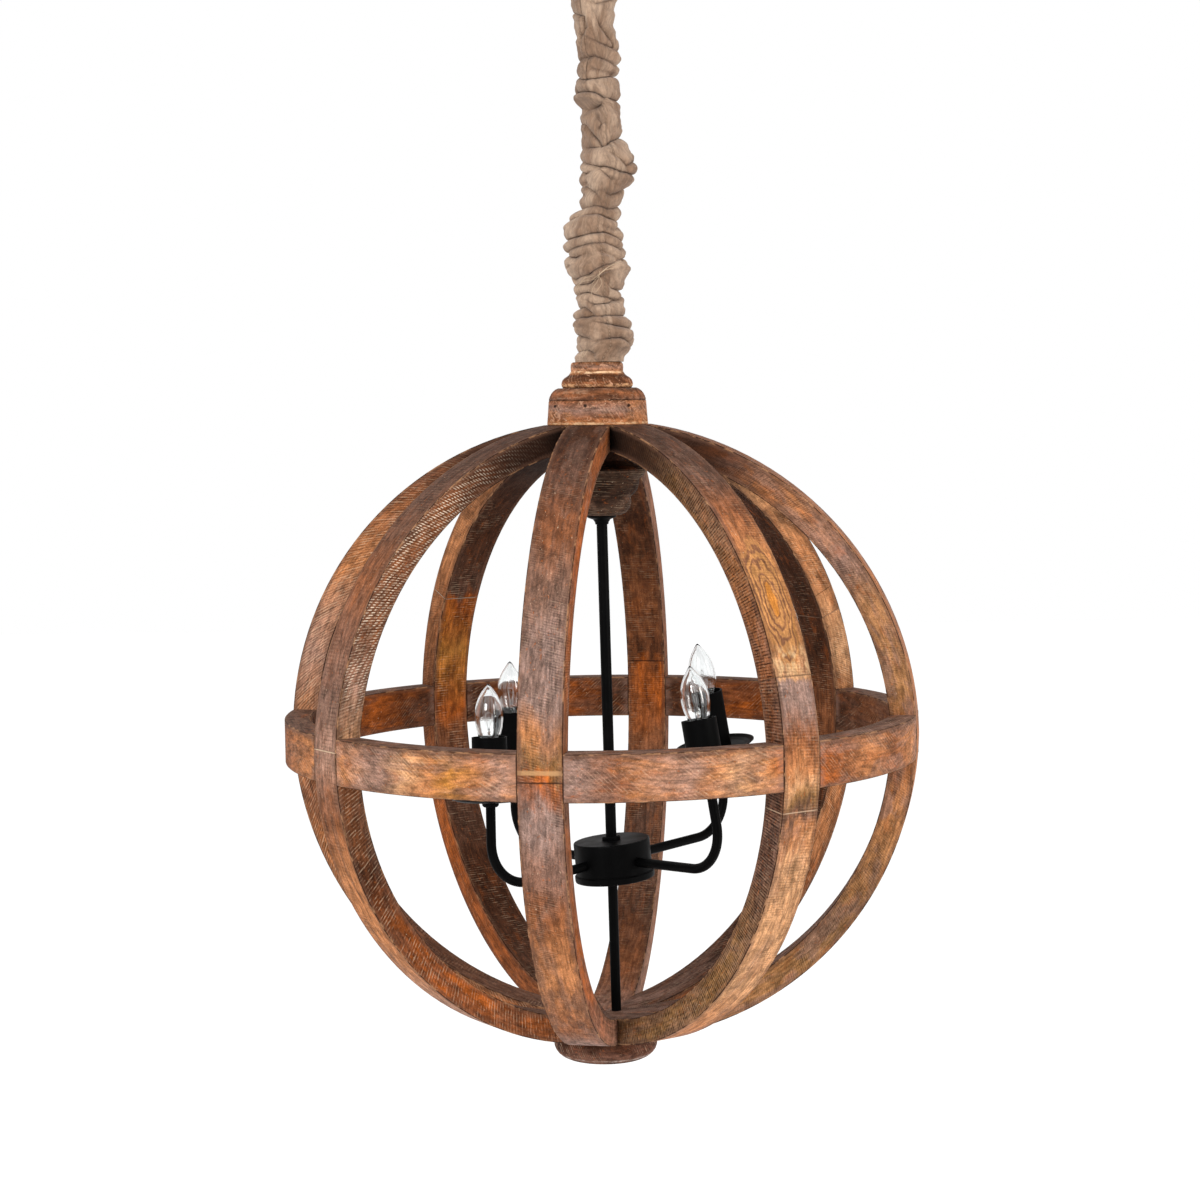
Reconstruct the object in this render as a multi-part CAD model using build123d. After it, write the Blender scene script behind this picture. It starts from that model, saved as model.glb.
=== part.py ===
from build123d import *
import math
import os

os.makedirs("parts", exist_ok=True)

# ---------------------------------------------------------------------------
# Orb chandelier, hung from a ceiling. Millimetres, +Z up, +X to the right of
# someone who looks at it along +Y. The origin is on the ceiling, in the middle
# of the mounting strap.
# ---------------------------------------------------------------------------

# Orb
ORB_DROP = 866.0        # ceiling to the middle of the orb
ORB_R = 355.0           # outer radius of the ribs and the ring (28 in across)
RIB_T = 29.0            # radial thickness of a rib and of the ring
RIB_W = 47.0            # width of a rib
RIB_SQUAT = 5.0         # each half's arc is centred this far past the middle
RIB_COUNT = 8
RIB_AZ0 = -10.1         # first rib, degrees from the -Y side towards +X
RING_H = 49.0           # height of the equatorial ring
CAP_Z = 345.5           # the ribs are cut flat here for the hub and the foot

# Hub and finial, heights above the middle of the orb
HUB_TOP = 414.9
NECK_Z = 386.2
HUB_SEAM_Z = 372.4
FINIAL_TOP = 320.6
FINIAL_BOTTOM = 244.2
FOOT_BOTTOM = -371.6
FOOT_R = 58.8

# Rod: pivots at the loop above the hub and leans a little towards +X below
ROD_PIVOT = 430.0
ROD_LEAN = 0.95         # degrees
ROD_R = 6.1
LOWER_ROD_R = 5.55
ROD_BORE_R = 4.6
ROD_FIT = 0.08
ROD_JOIN = -146.0       # upper and lower rod meet here, inside the cluster
ROD_END = -327.0        # the lower rod stands in a shallow socket here

# Light cluster
CLUSTER_Z = -124.0      # top of the cluster body
CLUSTER_TILT = 4.95     # degrees, the +X side up
CLUSTER_R = 43.3
CLUSTER_H = 37.0
COVER_R = 45.2
COVER_H = 8.0
SHELL_T = 1.4
ARM_AZ0 = -49.3         # first arm, degrees from the -Y side towards +X
ARM_R = 5.35
ARM_BORE_R = 4.1
ARM_Z = -23.0           # arms leave the cluster body at this local height
ARM_BEND_R = 46.0
CANDLE_RHO = (165.4, 173.4, 173.4, 165.4)   # distance of each bobeche from the cluster's axis
CANDLE_H = 73.9         # height of a bobeche above the cluster body's top
CANDLE_LEAN = 6.0       # degrees, inwards
BOBECHE_R = 46.5
COVER_OUT_R = 19.2
COVER_IN_R = 17.7
COVER_LEN = 69.0
SOCKET_R = 13.0
BULB_BASE_R = 6.0
BULB_CLEAR = 0.3

# Suspension
CANOPY_R = 63.5
CANOPY_H = 28.0
CANOPY_T = 1.2
STRAP_L = 108.0
STRAP_W = 22.0
STRAP_T = 2.0
SLOT_SPACING = 88.9     # outlet-box screw spacing
SLOT_R = 2.3
SLOT_L = 14.0
NIPPLE_R = 4.9
NIPPLE_BORE_R = 3.6
LOOP_MAJOR = 11.5
LOOP_WIRE = 2.5
LINK_WIRE = 2.0
LINK_HALF_W = 8.5       # centre line of a link's sides
LINKS = 13
LINK_GAP = 0.3          # between links on different bodies
LINK_GAP_IN = 0.1       # between links that swing together
SLEEVE_R = 24.0
SLEEVE_T = 2.5
CORD_R = 3.2

OC = -ORB_DROP          # height of the orb's middle


def save(shape, name):
    export_step(shape, "parts/" + name + ".step")


def turned(points, smooth=False):
    """A solid turned about Z from (radius, height) points, in order."""
    pts = [(p[0], 0, p[1]) for p in points]
    with BuildPart() as p:
        with BuildSketch(Plane.XZ) as s:
            with BuildLine():
                Polyline(*[(q[0], q[1]) for q in points], close=True)
            make_face()
        revolve(axis=Axis.Z)
    return p.part.solids()[0]


def tube(r_out, r_in, z0, z1):
    outer = Location((0, 0, z0)) * extrude(Sketch() + Circle(r_out), z1 - z0)
    if r_in > 0:
        outer = outer - Location((0, 0, z0 - 1)) * extrude(Sketch() + Circle(r_in), z1 - z0 + 2)
    return outer


def rod_cyl(r, z_low, z_high):
    """Cylinder along the rod's axis between two heights over the orb's middle."""
    c = math.cos(math.radians(ROD_LEAN))
    s0 = (z_low - ROD_PIVOT) / c
    s1 = (z_high - ROD_PIVOT) / c
    body = Location((0, 0, s0)) * extrude(Sketch() + Circle(r), s1 - s0)
    return ROD_LOC * body


ROD_LOC = Location((0, 0, OC + ROD_PIVOT), (0, -ROD_LEAN, 0))


def rod_x(z):
    return math.tan(math.radians(ROD_LEAN)) * (ROD_PIVOT - z)


# --------------------------------------------------------------------- ceiling
# Domed canopy, open towards the ceiling, with a hole for the loop's neck.
canopy_out = [(10.0, -CANOPY_H), (24.0, -27.2), (36.0, -24.6), (46.0, -20.6),
              (54.0, -15.4), (59.5, -10.0), (62.3, -6.0), (CANOPY_R, -3.0), (CANOPY_R, 0.0)]
canopy_in = [(CANOPY_R - CANOPY_T, 0.0), (CANOPY_R - CANOPY_T, -2.8), (61.2, -5.4), (58.5, -9.2),
             (53.2, -14.4), (45.4, -19.5), (35.7, -23.4), (23.9, -26.0), (10.0, -CANOPY_H + CANOPY_T)]
save(turned(canopy_out + canopy_in), "canopy")

# Flat mounting strap with two slots.
strap = extrude(Sketch() + RectangleRounded(STRAP_L, STRAP_W, 4.0), -STRAP_T)
strap -= tube(NIPPLE_R + 0.06, 0, -STRAP_T - 1, 1)
for sx in (-1, 1):
    strap -= Location((sx * SLOT_SPACING / 2, 0, -STRAP_T - 1)) * extrude(
        Sketch() + SlotOverall(SLOT_L, 2 * SLOT_R), STRAP_T + 2)
save(strap, "mounting_strap")

# Threaded nipple and its two hexagon nuts.
save(tube(NIPPLE_R, NIPPLE_BORE_R, -31.0, 0.0), "threaded_nipple")
nuts = []
for z0 in (-STRAP_T - 4.2, -17.0):
    nut = Location((0, 0, z0)) * extrude(Sketch() + RegularPolygon(8.0, 6), 4.0)
    nuts.append(nut - tube(NIPPLE_R + 0.06, 0, z0 - 1, z0 + 5))
save(Compound(children=[n.solids()[0] for n in nuts]), "nipple_nuts")

# Loop that screws on the nipple, and the ring that holds the canopy up.
LOOP_Z = -38.0 - LOOP_MAJOR + 1.0
neck = tube(9.5, 0, -38.0, -17.4)
eye = Location((0, 0, LOOP_Z), (90, 0, 0)) * Torus(LOOP_MAJOR, LOOP_WIRE)
loop = neck + eye
loop -= tube(NIPPLE_R + 0.06, 0, -31.0, -16.0)
loop -= tube(3.5, 0, -41.0, -30.0)
save(loop.solids()[0], "canopy_loop")
ring_pts = [(9.58, -35.0), (13.6, -35.0), (15.0, -33.8), (15.0, -29.4), (14.0, -28.1), (9.58, -28.1)]
collar = turned(ring_pts)
for i in range(24):
    a = math.radians(i * 15)
    collar -= Location((15.4 * math.cos(a), 15.4 * math.sin(a), -36)) * extrude(Sketch() + Circle(0.8), 9)
save(collar.solids()[0], "canopy_ring")

# --------------------------------------------------------------------- chain
BAR_TOP = LOOP_Z - LOOP_MAJOR                      # the eye's lowest bar
HUB_EYE_Z = OC + HUB_TOP + 10.0 + LOOP_MAJOR - 1.0
BAR_LOW = HUB_EYE_Z + LOOP_MAJOR                   # the hub loop's top bar
z_first = BAR_TOP + LOOP_WIRE + LINK_WIRE + LINK_GAP
z_last = BAR_LOW - LOOP_WIRE - LINK_WIRE - LINK_GAP
gaps = 2 * (2 * LINK_WIRE + LINK_GAP) + (LINKS - 3) * (2 * LINK_WIRE + LINK_GAP_IN)
LINK_L = (z_first - z_last + gaps) / LINKS         # wire centre to wire centre


def link(z_top, turn):
    """One closed oval link in the XZ plane, turned about Z."""
    h = LINK_L / 2 - LINK_HALF_W
    r = LINK_HALF_W
    with BuildPart() as p:
        with BuildLine() as ln:
            l1 = Line((-r, 0, -h), (-r, 0, h))
            a1 = ThreePointArc((-r, 0, h), (0, 0, h + r), (r, 0, h))
            l2 = Line((r, 0, h), (r, 0, -h))
            a2 = ThreePointArc((r, 0, -h), (0, 0, -h - r), (-r, 0, -h))
        with BuildSketch(Plane(origin=(-r, 0, -h), z_dir=(0, 0, 1))):
            Circle(LINK_WIRE)
        sweep(path=ln.wires()[0])
    return Location((0, 0, z_top - LINK_L / 2), (0, 0, turn)) * p.part.solids()[0]


tops = [z_first]
for k in range(1, LINKS):
    g = LINK_GAP if k in (1, LINKS - 1) else LINK_GAP_IN
    tops.append(tops[-1] - LINK_L + 2 * LINK_WIRE + g)
save(link(tops[0], 90), "first_link")
save(Compound(children=[link(tops[k], 0 if k % 2 else 90) for k in range(1, LINKS - 1)]), "chain")
save(link(tops[-1], 90), "last_link")
PIVOT_FIRST = BAR_TOP
PIVOT_SIDE = tops[0] - LINK_L
PIVOT_ROCK = tops[-2] - LINK_L
PIVOT_TURN = tops[-1] - LINK_L
print("link length", round(LINK_L, 3), "tops", [round(t, 2) for t in tops])
print("pivots", round(PIVOT_FIRST, 3), round(PIVOT_SIDE, 3), round(PIVOT_ROCK, 3), round(PIVOT_TURN, 3))

# Linen sleeve over the chain: a closed-walled tube of its mean size.
SLEEVE_TOP = -46.0
SLEEVE_BOTTOM = OC + HUB_TOP + 3.6
save(tube(SLEEVE_R, SLEEVE_R - SLEEVE_T, SLEEVE_BOTTOM, SLEEVE_TOP), "linen_sleeve")

# Supply cord. It runs inside the sleeve beside the chain; short leads carry
# it on through the canopy loop and down the rod.
cord_pts = []
for i, (z, az, rr) in enumerate([(-66, 44, 14.0), (-108, 52, 13.2), (-160, 39, 14.6), (-214, 50, 13.4),
                                 (-262, 41, 14.4), (-316, 51, 13.5), (-362, 42, 14.5), (-402, 49, 13.8)]):
    a = math.radians(az)
    cord_pts.append((rr * math.cos(a), rr * math.sin(a), z))
radii = []
for i in range(1, len(cord_pts) - 1):
    v1 = Vector(*cord_pts[i]) - Vector(*cord_pts[i - 1])
    v2 = Vector(*cord_pts[i + 1]) - Vector(*cord_pts[i])
    turn = math.radians(v1.get_angle(v2))
    radii.append(0.45 * min(v1.length, v2.length) / math.tan(turn / 2))
cord_path = FilletPolyline(*cord_pts, radius=radii)
start = cord_path @ 0
cord = sweep(Plane(origin=start, z_dir=cord_path % 0) * Circle(CORD_R), path=cord_path)
print("cord radii", [round(r, 1) for r in radii], "length", round(cord_path.length, 1),
      "volume ratio", round(cord.volume / (math.pi * CORD_R ** 2 * cord_path.length), 4))
save(cord.solids()[0], "supply_cord")
save(tube(3.0, 0, -43.0, 0.0), "canopy_lead")
save(rod_cyl(3.0, ROD_JOIN + 8.0, HUB_TOP + 12.0), "rod_lead")

# --------------------------------------------------------------------- hub
# Loop on the rod's top end.
base = turned([(0, HUB_TOP), (11.0, HUB_TOP), (12.0, HUB_TOP + 1.5), (12.0, HUB_TOP + 6.0),
               (8.5, HUB_TOP + 10.0), (0, HUB_TOP + 10.0)])
hub_loop = Location((0, 0, OC)) * base + Location((0, 0, HUB_EYE_Z), (90, 0, 0)) * Torus(LOOP_MAJOR, LOOP_WIRE)
hub_loop -= rod_cyl(ROD_R + ROD_FIT, HUB_TOP - 2.0, HUB_TOP + 5.0)
hub_loop -= rod_cyl(3.5, HUB_TOP + 4.0, HUB_TOP + 13.0)
save(hub_loop.solids()[0], "hub_loop")

# Turned neck with a collar above an ogee.
neck_pts = [(0, NECK_Z), (38.4, NECK_Z), (39.6, 388.4), (40.0, 390.4), (39.6, 392.8), (38.6, 395.2),
            (36.6, 397.4), (33.6, 399.2), (31.2, 401.2), (29.8, 403.6), (29.0, 404.4), (29.2, 406.0),
            (29.4, 409.5), (29.0, 412.6), (28.0, 414.3), (26.6, HUB_TOP), (0, HUB_TOP)]
neck = Location((0, 0, OC)) * turned(neck_pts) - rod_cyl(7.0, 380, 420)
save(neck.solids()[0], "hub_neck")
up_pts = [(0, HUB_SEAM_Z), (54.3, HUB_SEAM_Z), (54.0, 374.4), (53.0, 377.4), (51.4, 380.4), (49.2, 383.0),
          (46.6, 385.0), (43.8, NECK_Z), (0, NECK_Z)]
save((Location((0, 0, OC)) * turned(up_pts) - rod_cyl(7.0, 366, 392)).solids()[0], "hub_ring_upper")
low_pts = [(0, CAP_Z), (56.2, CAP_Z), (56.4, 346.6), (55.6, 356.0), (54.9, 366.0), (54.5, 371.6),
           (54.0, HUB_SEAM_Z), (0, HUB_SEAM_Z)]
save((Location((0, 0, OC)) * turned(low_pts) - rod_cyl(7.0, 338, 380)).solids()[0], "hub_ring_lower")

# Stepped finial under the hub, inside the orb.
fin_pts = [(0, FINIAL_BOTTOM), (22.4, FINIAL_BOTTOM), (28.6, 247.4), (32.6, 252.6), (34.0, 259.0), (33.4, 264.6),
           (34.4, 265.4), (38.6, 269.4), (41.4, 274.0), (42.8, 279.0), (43.0, 284.4), (44.6, 285.4),
           (48.2, 289.0), (50.2, 293.2), (50.2, 296.6), (45.0, 298.6), (38.4, 301.4), (33.4, 305.0),
           (33.0, 312.0), (33.0, FINIAL_TOP - 3.0), (0, FINIAL_TOP - 3.0)]
finial = Location((rod_x(270.0), 0, OC)) * turned(fin_pts) - rod_cyl(7.0, 236, 330)
save(finial.solids()[0], "finial")

# Black cup that carries the hub on the rod.
fl_z = FINIAL_BOTTOM - 0.35
flange = ROD_LOC * Location((0, 0, -ROD_PIVOT)) * turned(
    [(0, fl_z - 10.0), (7.4, fl_z - 10.0), (7.8, fl_z - 7.6), (9.8, fl_z - 4.6), (15.2, fl_z - 2.6),
     (16.3, fl_z - 1.8), (16.3, fl_z), (0, fl_z)]) - rod_cyl(ROD_R + ROD_FIT, 225, 250)
save(flange.solids()[0], "rod_flange")

# Rods: hollow, the upper from the hub loop to the cluster, the lower from
# there to a shallow socket in the bottom of the orb.
save((rod_cyl(ROD_R, ROD_JOIN + 0.02, HUB_TOP + 4.9) - rod_cyl(ROD_BORE_R, ROD_JOIN - 2, HUB_TOP + 8)).solids()[0],
     "upper_rod")
save((rod_cyl(LOWER_ROD_R, ROD_END, ROD_JOIN - 0.02) - rod_cyl(4.2, ROD_END - 2, ROD_JOIN + 2)).solids()[0],
     "lower_rod")

# --------------------------------------------------------------------- orb
def rib(k):
    """One rib: two glued half arcs, mitred at the poles, with flat seats."""
    a_out, a_in = ORB_R, ORB_R - RIB_T
    s = RIB_SQUAT
    y_out = math.sqrt(a_out ** 2 - s ** 2)
    y_in = math.sqrt(a_in ** 2 - s ** 2)
    # quarter profiles in (radius, height); heights over the orb's middle
    def arc_pt(r, z_c, deg):
        t = math.radians(deg)
        return (r * math.cos(t), z_c + r * math.sin(t))
    t_out = math.degrees(math.asin(s / a_out))
    t_in = math.degrees(math.asin(s / a_in))
    with BuildPart() as p:
        with BuildSketch(Plane.XZ):
            with BuildLine():
                ThreePointArc((y_out, 0), arc_pt(a_out, -s, 45 + t_out / 2), (0, a_out - s))
                Line((0, a_out - s), (0, a_in - s))
                ThreePointArc((0, a_in - s), arc_pt(a_in, -s, 45 + t_in / 2), (y_in, 0))
                ThreePointArc((y_in, 0), arc_pt(a_in, s, -45 - t_in / 2), (0, -(a_in - s)))
                Line((0, -(a_in - s)), (0, -(a_out - s)))
                ThreePointArc((0, -(a_out - s)), arc_pt(a_out, s, -45 - t_out / 2), (y_out, 0))
            make_face()
        extrude(amount=RIB_W / 2, both=True)
    body = p.part
    # flat seats for the hub and the foot
    body = body & (Location((0, 0, 0)) * Box(2 * ORB_R + 20, 2 * RIB_W, 2 * CAP_Z))
    # mitre: a wedge of a full turn over the rib count
    far = ORB_R + 30
    half = math.radians(180.0 / RIB_COUNT)
    with BuildPart() as w:
        with BuildSketch(Plane.XY.offset(-ORB_R - 10)):
            with BuildLine():
                Polyline((0, 0), (far, far * math.tan(half)), (far, -far * math.tan(half)), close=True)
            make_face()
        extrude(amount=2 * ORB_R + 20)
    body = body & w.part
    az = RIB_AZ0 + k * 360.0 / RIB_COUNT
    body = Location((0, 0, OC), (0, 0, az - 90)) * body
    body = body - rod_cyl(7.0, 300, 380)                 # the rod's way through the top
    body = body - rod_cyl(LOWER_ROD_R + ROD_FIT, ROD_END - 0.2, -290)   # its socket at the bottom
    sol = sorted(body.solids(), key=lambda q: -q.volume)
    return sol[0]


for k in range(RIB_COUNT):
    save(rib(k), "rib_%d" % (k + 1))

# Equatorial ring: a segment between each pair of ribs.
ring = tube(ORB_R, ORB_R - RIB_T, -RING_H / 2, RING_H / 2)
for k in range(RIB_COUNT):
    az = RIB_AZ0 + k * 360.0 / RIB_COUNT
    slot = Location((0, 0, 0), (0, 0, az - 90)) * (Location((ORB_R - RIB_T / 2, 0, 0)) * Box(80, RIB_W, RING_H + 4))
    ring = ring - slot
segs = ring.solids()


def seg_az(s):
    c = s.center(CenterOf.MASS)
    a = math.degrees(math.atan2(c.X, -c.Y)) - RIB_AZ0
    return a % 360.0


segs = sorted(segs, key=seg_az)
for k, s in enumerate(segs):
    save(Location((0, 0, OC)) * s, "ring_segment_%d" % (k + 1))
print("ring segments", len(segs))

# Foot disc under the orb.
foot_pts = [(0, FOOT_BOTTOM), (43.0, FOOT_BOTTOM), (47.6, -370.8), (51.6, -368.8), (54.8, -366.0), (57.2, -362.6),
            (58.5, -359.0), (FOOT_R, -355.6), (FOOT_R, -348.0), (58.0, -346.2), (57.0, -CAP_Z), (0, -CAP_Z)]
save(Location((0, 0, OC)) * turned(foot_pts), "foot_disc")

# --------------------------------------------------------------------- cluster
CX = rod_x(CLUSTER_Z)
CL = Location((CX, 0, OC + CLUSTER_Z), (0, -CLUSTER_TILT, 0))
body_pts = [(0, 0), (CLUSTER_R - 1.6, 0), (CLUSTER_R - 0.5, -0.5), (CLUSTER_R, -1.6), (CLUSTER_R, -CLUSTER_H),
            (CLUSTER_R - SHELL_T, -CLUSTER_H), (CLUSTER_R - SHELL_T, -SHELL_T), (0, -SHELL_T)]
can = CL * turned(body_pts)
for k in range(4):
    turn = Location((0, 0, 0), (0, 0, ARM_AZ0 + 90.0 * k - 90))
    hole = Location((30.0, 0, ARM_Z), (0, 90, 0)) * extrude(Sketch() + Circle(ARM_R + 0.1), 20)
    can = can - CL * turn * hole
can = can - rod_cyl(ROD_R + 0.5, CLUSTER_Z - 12, CLUSTER_Z + 12)
save(can.solids()[0], "cluster_body")

cov_pts = [(0, -CLUSTER_H - COVER_H), (COVER_R - 1.8, -CLUSTER_H - COVER_H),
           (COVER_R - 0.5, -CLUSTER_H - COVER_H + 0.6), (COVER_R, -CLUSTER_H - COVER_H + 2.0),
           (COVER_R, -CLUSTER_H - 1.2), (COVER_R - 1.0, -CLUSTER_H - 0.05), (38.0, -CLUSTER_H - 0.05),
           (38.0, -CLUSTER_H - COVER_H + 1.6), (0, -CLUSTER_H - COVER_H + 1.6)]
plate = CL * turned(cov_pts) - rod_cyl(LOWER_ROD_R + 0.5, CLUSTER_Z - 60, CLUSTER_Z - 36)
save(plate.solids()[0], "cluster_cover")

# Lock collar on top of the body and the coupling inside it.
col = CL * turned([(0, 0.05), (10.4, 0.05), (10.4, 3.4), (9.2, 4.6), (0, 4.6)])
col = (col - rod_cyl(ROD_R + ROD_FIT, CLUSTER_Z - 5, CLUSTER_Z + 12)).solids()[0]
coup = rod_cyl(9.0, ROD_JOIN - 10, ROD_JOIN + 10) - rod_cyl(ROD_R + ROD_FIT, ROD_JOIN, ROD_JOIN + 12)
coup = (coup - rod_cyl(LOWER_ROD_R + ROD_FIT, ROD_JOIN - 12, ROD_JOIN + 1)).solids()[0]
save(Compound(children=[col, coup]), "rod_couplings")

# Four bent arms and what stands on them.
def arm(rho):
    """A hollow arm that leaves the body level, bends up and ends inside the socket."""
    lean = math.radians(CANDLE_LEAN)
    top_t = 7.0
    path = FilletPolyline((36.0, 0, ARM_Z), (rho + (CANDLE_H - ARM_Z) * math.tan(lean), 0, ARM_Z),
                          (rho - top_t * math.sin(lean), 0, CANDLE_H + top_t * math.cos(lean)), radius=ARM_BEND_R)
    pl = Plane(origin=path @ 0, z_dir=path % 0)
    s = (sweep(pl * Circle(ARM_R), path=path) - sweep(pl * Circle(ARM_BORE_R), path=path)).solids()[0]
    print("arm length", round(path.length, 1), "volume ratio",
          round(s.volume / (math.pi * (ARM_R ** 2 - ARM_BORE_R ** 2) * path.length), 4))
    return s


def candle(rho):
    """Seat frame: origin on the bobeche's underside, Z along the candle."""
    return Location((rho, 0, CANDLE_H), (0, -CANDLE_LEAN, 0))


# what stands on every arm, in its seat frame
collar_s = turned([(ARM_R + 0.1, -6.0), (7.4, -6.0), (8.8, -4.6), (9.3, -2.8), (9.3, 0.0), (ARM_R + 0.1, 0.0)])
bob_s = turned([(ARM_R + 0.1, 0.05), (27.0, 0.05), (36.0, 1.1), (42.0, 3.0), (BOBECHE_R - 0.9, 5.6), (BOBECHE_R, 6.2),
                (BOBECHE_R, 7.2), (BOBECHE_R - 1.2, 7.2), (41.4, 4.4), (35.8, 2.5), (27.0, 1.35), (ARM_R + 0.1, 1.35)])
cover_s = tube(COVER_OUT_R, COVER_IN_R, 1.4, 1.4 + COVER_LEN)
socket_top = 58.0
socket_s = turned([(0, 1.45), (SOCKET_R, 1.45), (SOCKET_R, 44.0), (12.2, 46.0), (12.2, socket_top - 1.0),
                   (11.4, socket_top), (BULB_BASE_R + BULB_CLEAR, socket_top), (BULB_BASE_R + BULB_CLEAR, 35.2), (0, 35.2)])
socket_s = socket_s - tube(ARM_R + 0.1, 0, 0.0, 8.0)
socket_s = socket_s.solids()[0]

glass_out = [(5.2, 52.4), (5.25, 57.6), (6.4, 61.0), (9.0, 65.6), (11.6, 70.6), (13.7, 77.0), (15.1, 84.4),
             (15.6, 92.0), (15.1, 99.4), (13.7, 106.0), (11.4, 112.2), (8.6, 117.6), (5.8, 121.8), (3.4, 125.0),
             (1.7, 127.2), (0.0, 128.4)]
glass_in = [(0.0, 126.4), (1.2, 125.4), (2.9, 123.2), (5.2, 120.2), (7.9, 116.6), (10.6, 111.6), (12.9, 105.6),
            (14.3, 99.2), (14.8, 92.0), (14.3, 84.6), (12.9, 77.3), (10.8, 71.0), (8.3, 66.1), (5.7, 61.4),
            (4.6, 57.8), (4.55, 52.4)]
with BuildPart() as gp:
    with BuildSketch(Plane.XZ):
        with BuildLine():
            s1 = Spline(*glass_out)
            l1 = Line(glass_out[-1], glass_in[0])
            s2 = Spline(*glass_in)
            l2 = Line(glass_in[-1], glass_out[0])
        make_face()
    revolve(axis=Axis.Z)
glass_s = gp.part.solids()[0]
base_pts = [(0, 35.5), (2.4, 35.5), (2.9, 36.4), (4.8, 37.4)]
z = 37.4
while z < 53.0:
    base_pts += [(5.6, z + 0.2), (BULB_BASE_R, z + 0.9), (BULB_BASE_R, z + 1.3), (5.6, z + 2.0)]
    z += 2.2
base_pts += [(BULB_BASE_R, 55.6), (BULB_BASE_R, 57.2), (5.6, 57.6), (5.32, 57.6), (5.32, 52.3), (0, 52.3)]
base_s = turned(base_pts)

collars, bobs, socks = [], [], []
for k in range(4):
    turn = Location((0, 0, 0), (0, 0, ARM_AZ0 + 90.0 * k - 90))
    save(CL * turn * arm(CANDLE_RHO[k]), "arm_%d" % (k + 1))
    seat = CL * turn * candle(CANDLE_RHO[k])
    collars.append(seat * collar_s)
    bobs.append(seat * bob_s)
    socks.append(seat * socket_s)
    save((seat * cover_s).solids()[0], "candle_cover_%d" % (k + 1))
    save(seat * glass_s, "bulb_glass_%d" % (k + 1))
    save(seat * base_s, "bulb_base_%d" % (k + 1))
    o = (seat * Location((0, 0, 0))).position
    e = (seat * Location((0, 0, 100))).position
    d = (e - o).normalized()
    print("candle", k + 1, "seat", [round(v, 3) for v in (o.X, o.Y, o.Z)], "axis",
          [round(v, 6) for v in (d.X, d.Y, d.Z)])
save(Compound(children=collars), "arm_collars")
save(Compound(children=bobs), "bobeches")
save(Compound(children=socks), "sockets")
print("cluster centre x", round(CX, 3), "rod x at the bottom", round(rod_x(ROD_END), 3))
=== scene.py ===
import bpy
import math
import random
import numpy as np
from mathutils import Matrix, Vector


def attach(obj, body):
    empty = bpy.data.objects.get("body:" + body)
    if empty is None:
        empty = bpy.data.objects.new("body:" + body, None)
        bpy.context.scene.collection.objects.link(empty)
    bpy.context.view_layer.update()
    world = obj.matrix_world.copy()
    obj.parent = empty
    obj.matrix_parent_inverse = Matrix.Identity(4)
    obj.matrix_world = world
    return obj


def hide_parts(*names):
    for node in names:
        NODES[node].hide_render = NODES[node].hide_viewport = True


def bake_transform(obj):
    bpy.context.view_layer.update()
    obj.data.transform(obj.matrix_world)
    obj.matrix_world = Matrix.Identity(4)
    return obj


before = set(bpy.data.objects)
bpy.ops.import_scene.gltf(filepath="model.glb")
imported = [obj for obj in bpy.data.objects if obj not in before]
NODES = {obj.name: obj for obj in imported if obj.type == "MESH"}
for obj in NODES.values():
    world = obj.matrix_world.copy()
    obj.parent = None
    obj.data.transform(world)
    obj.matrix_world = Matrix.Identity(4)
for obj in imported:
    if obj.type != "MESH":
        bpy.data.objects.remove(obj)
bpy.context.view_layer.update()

OC = -0.866                 # height of the orb's middle
ORB_R, RIB_T, RIB_W, RING_H = 0.355, 0.029, 0.047, 0.049
RIB_AZ0 = -10.1
scene = bpy.context.scene
scene.view_settings.view_transform = "Standard"

# ------------------------------------------------------------------ camera
cam_data = bpy.data.cameras.new("camera")
cam_data.sensor_width = 36.0
cam_data.sensor_fit = "HORIZONTAL"
cam_data.lens = 75.27
cam_data.clip_start, cam_data.clip_end = 0.05, 60.0
cam = bpy.data.objects.new("camera", cam_data)
scene.collection.objects.link(cam)
cam.matrix_world = (Matrix.Translation((0.0, -2.8124, -0.4871))
                    @ Matrix.Rotation(math.radians(90.0 - 4.683), 4, "X")
                    @ Matrix.Rotation(math.radians(-0.755), 4, "Z"))
scene.camera = cam


# ------------------------------------------------------------------ node help
def lin(r, g, b, k=1.0):
    """Linear colour of an sRGB colour given in 0 to 255."""
    out = []
    for v in (r, g, b):
        c = v / 255.0
        out.append(k * (c / 12.92 if c <= 0.04045 else ((c + 0.055) / 1.055) ** 2.4))
    return (out[0], out[1], out[2], 1.0)


def tone(r, g, b):
    """Base colour of wood that looks like this sRGB colour in the studio's light."""
    return lin(r, g, b, 0.69)


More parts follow.
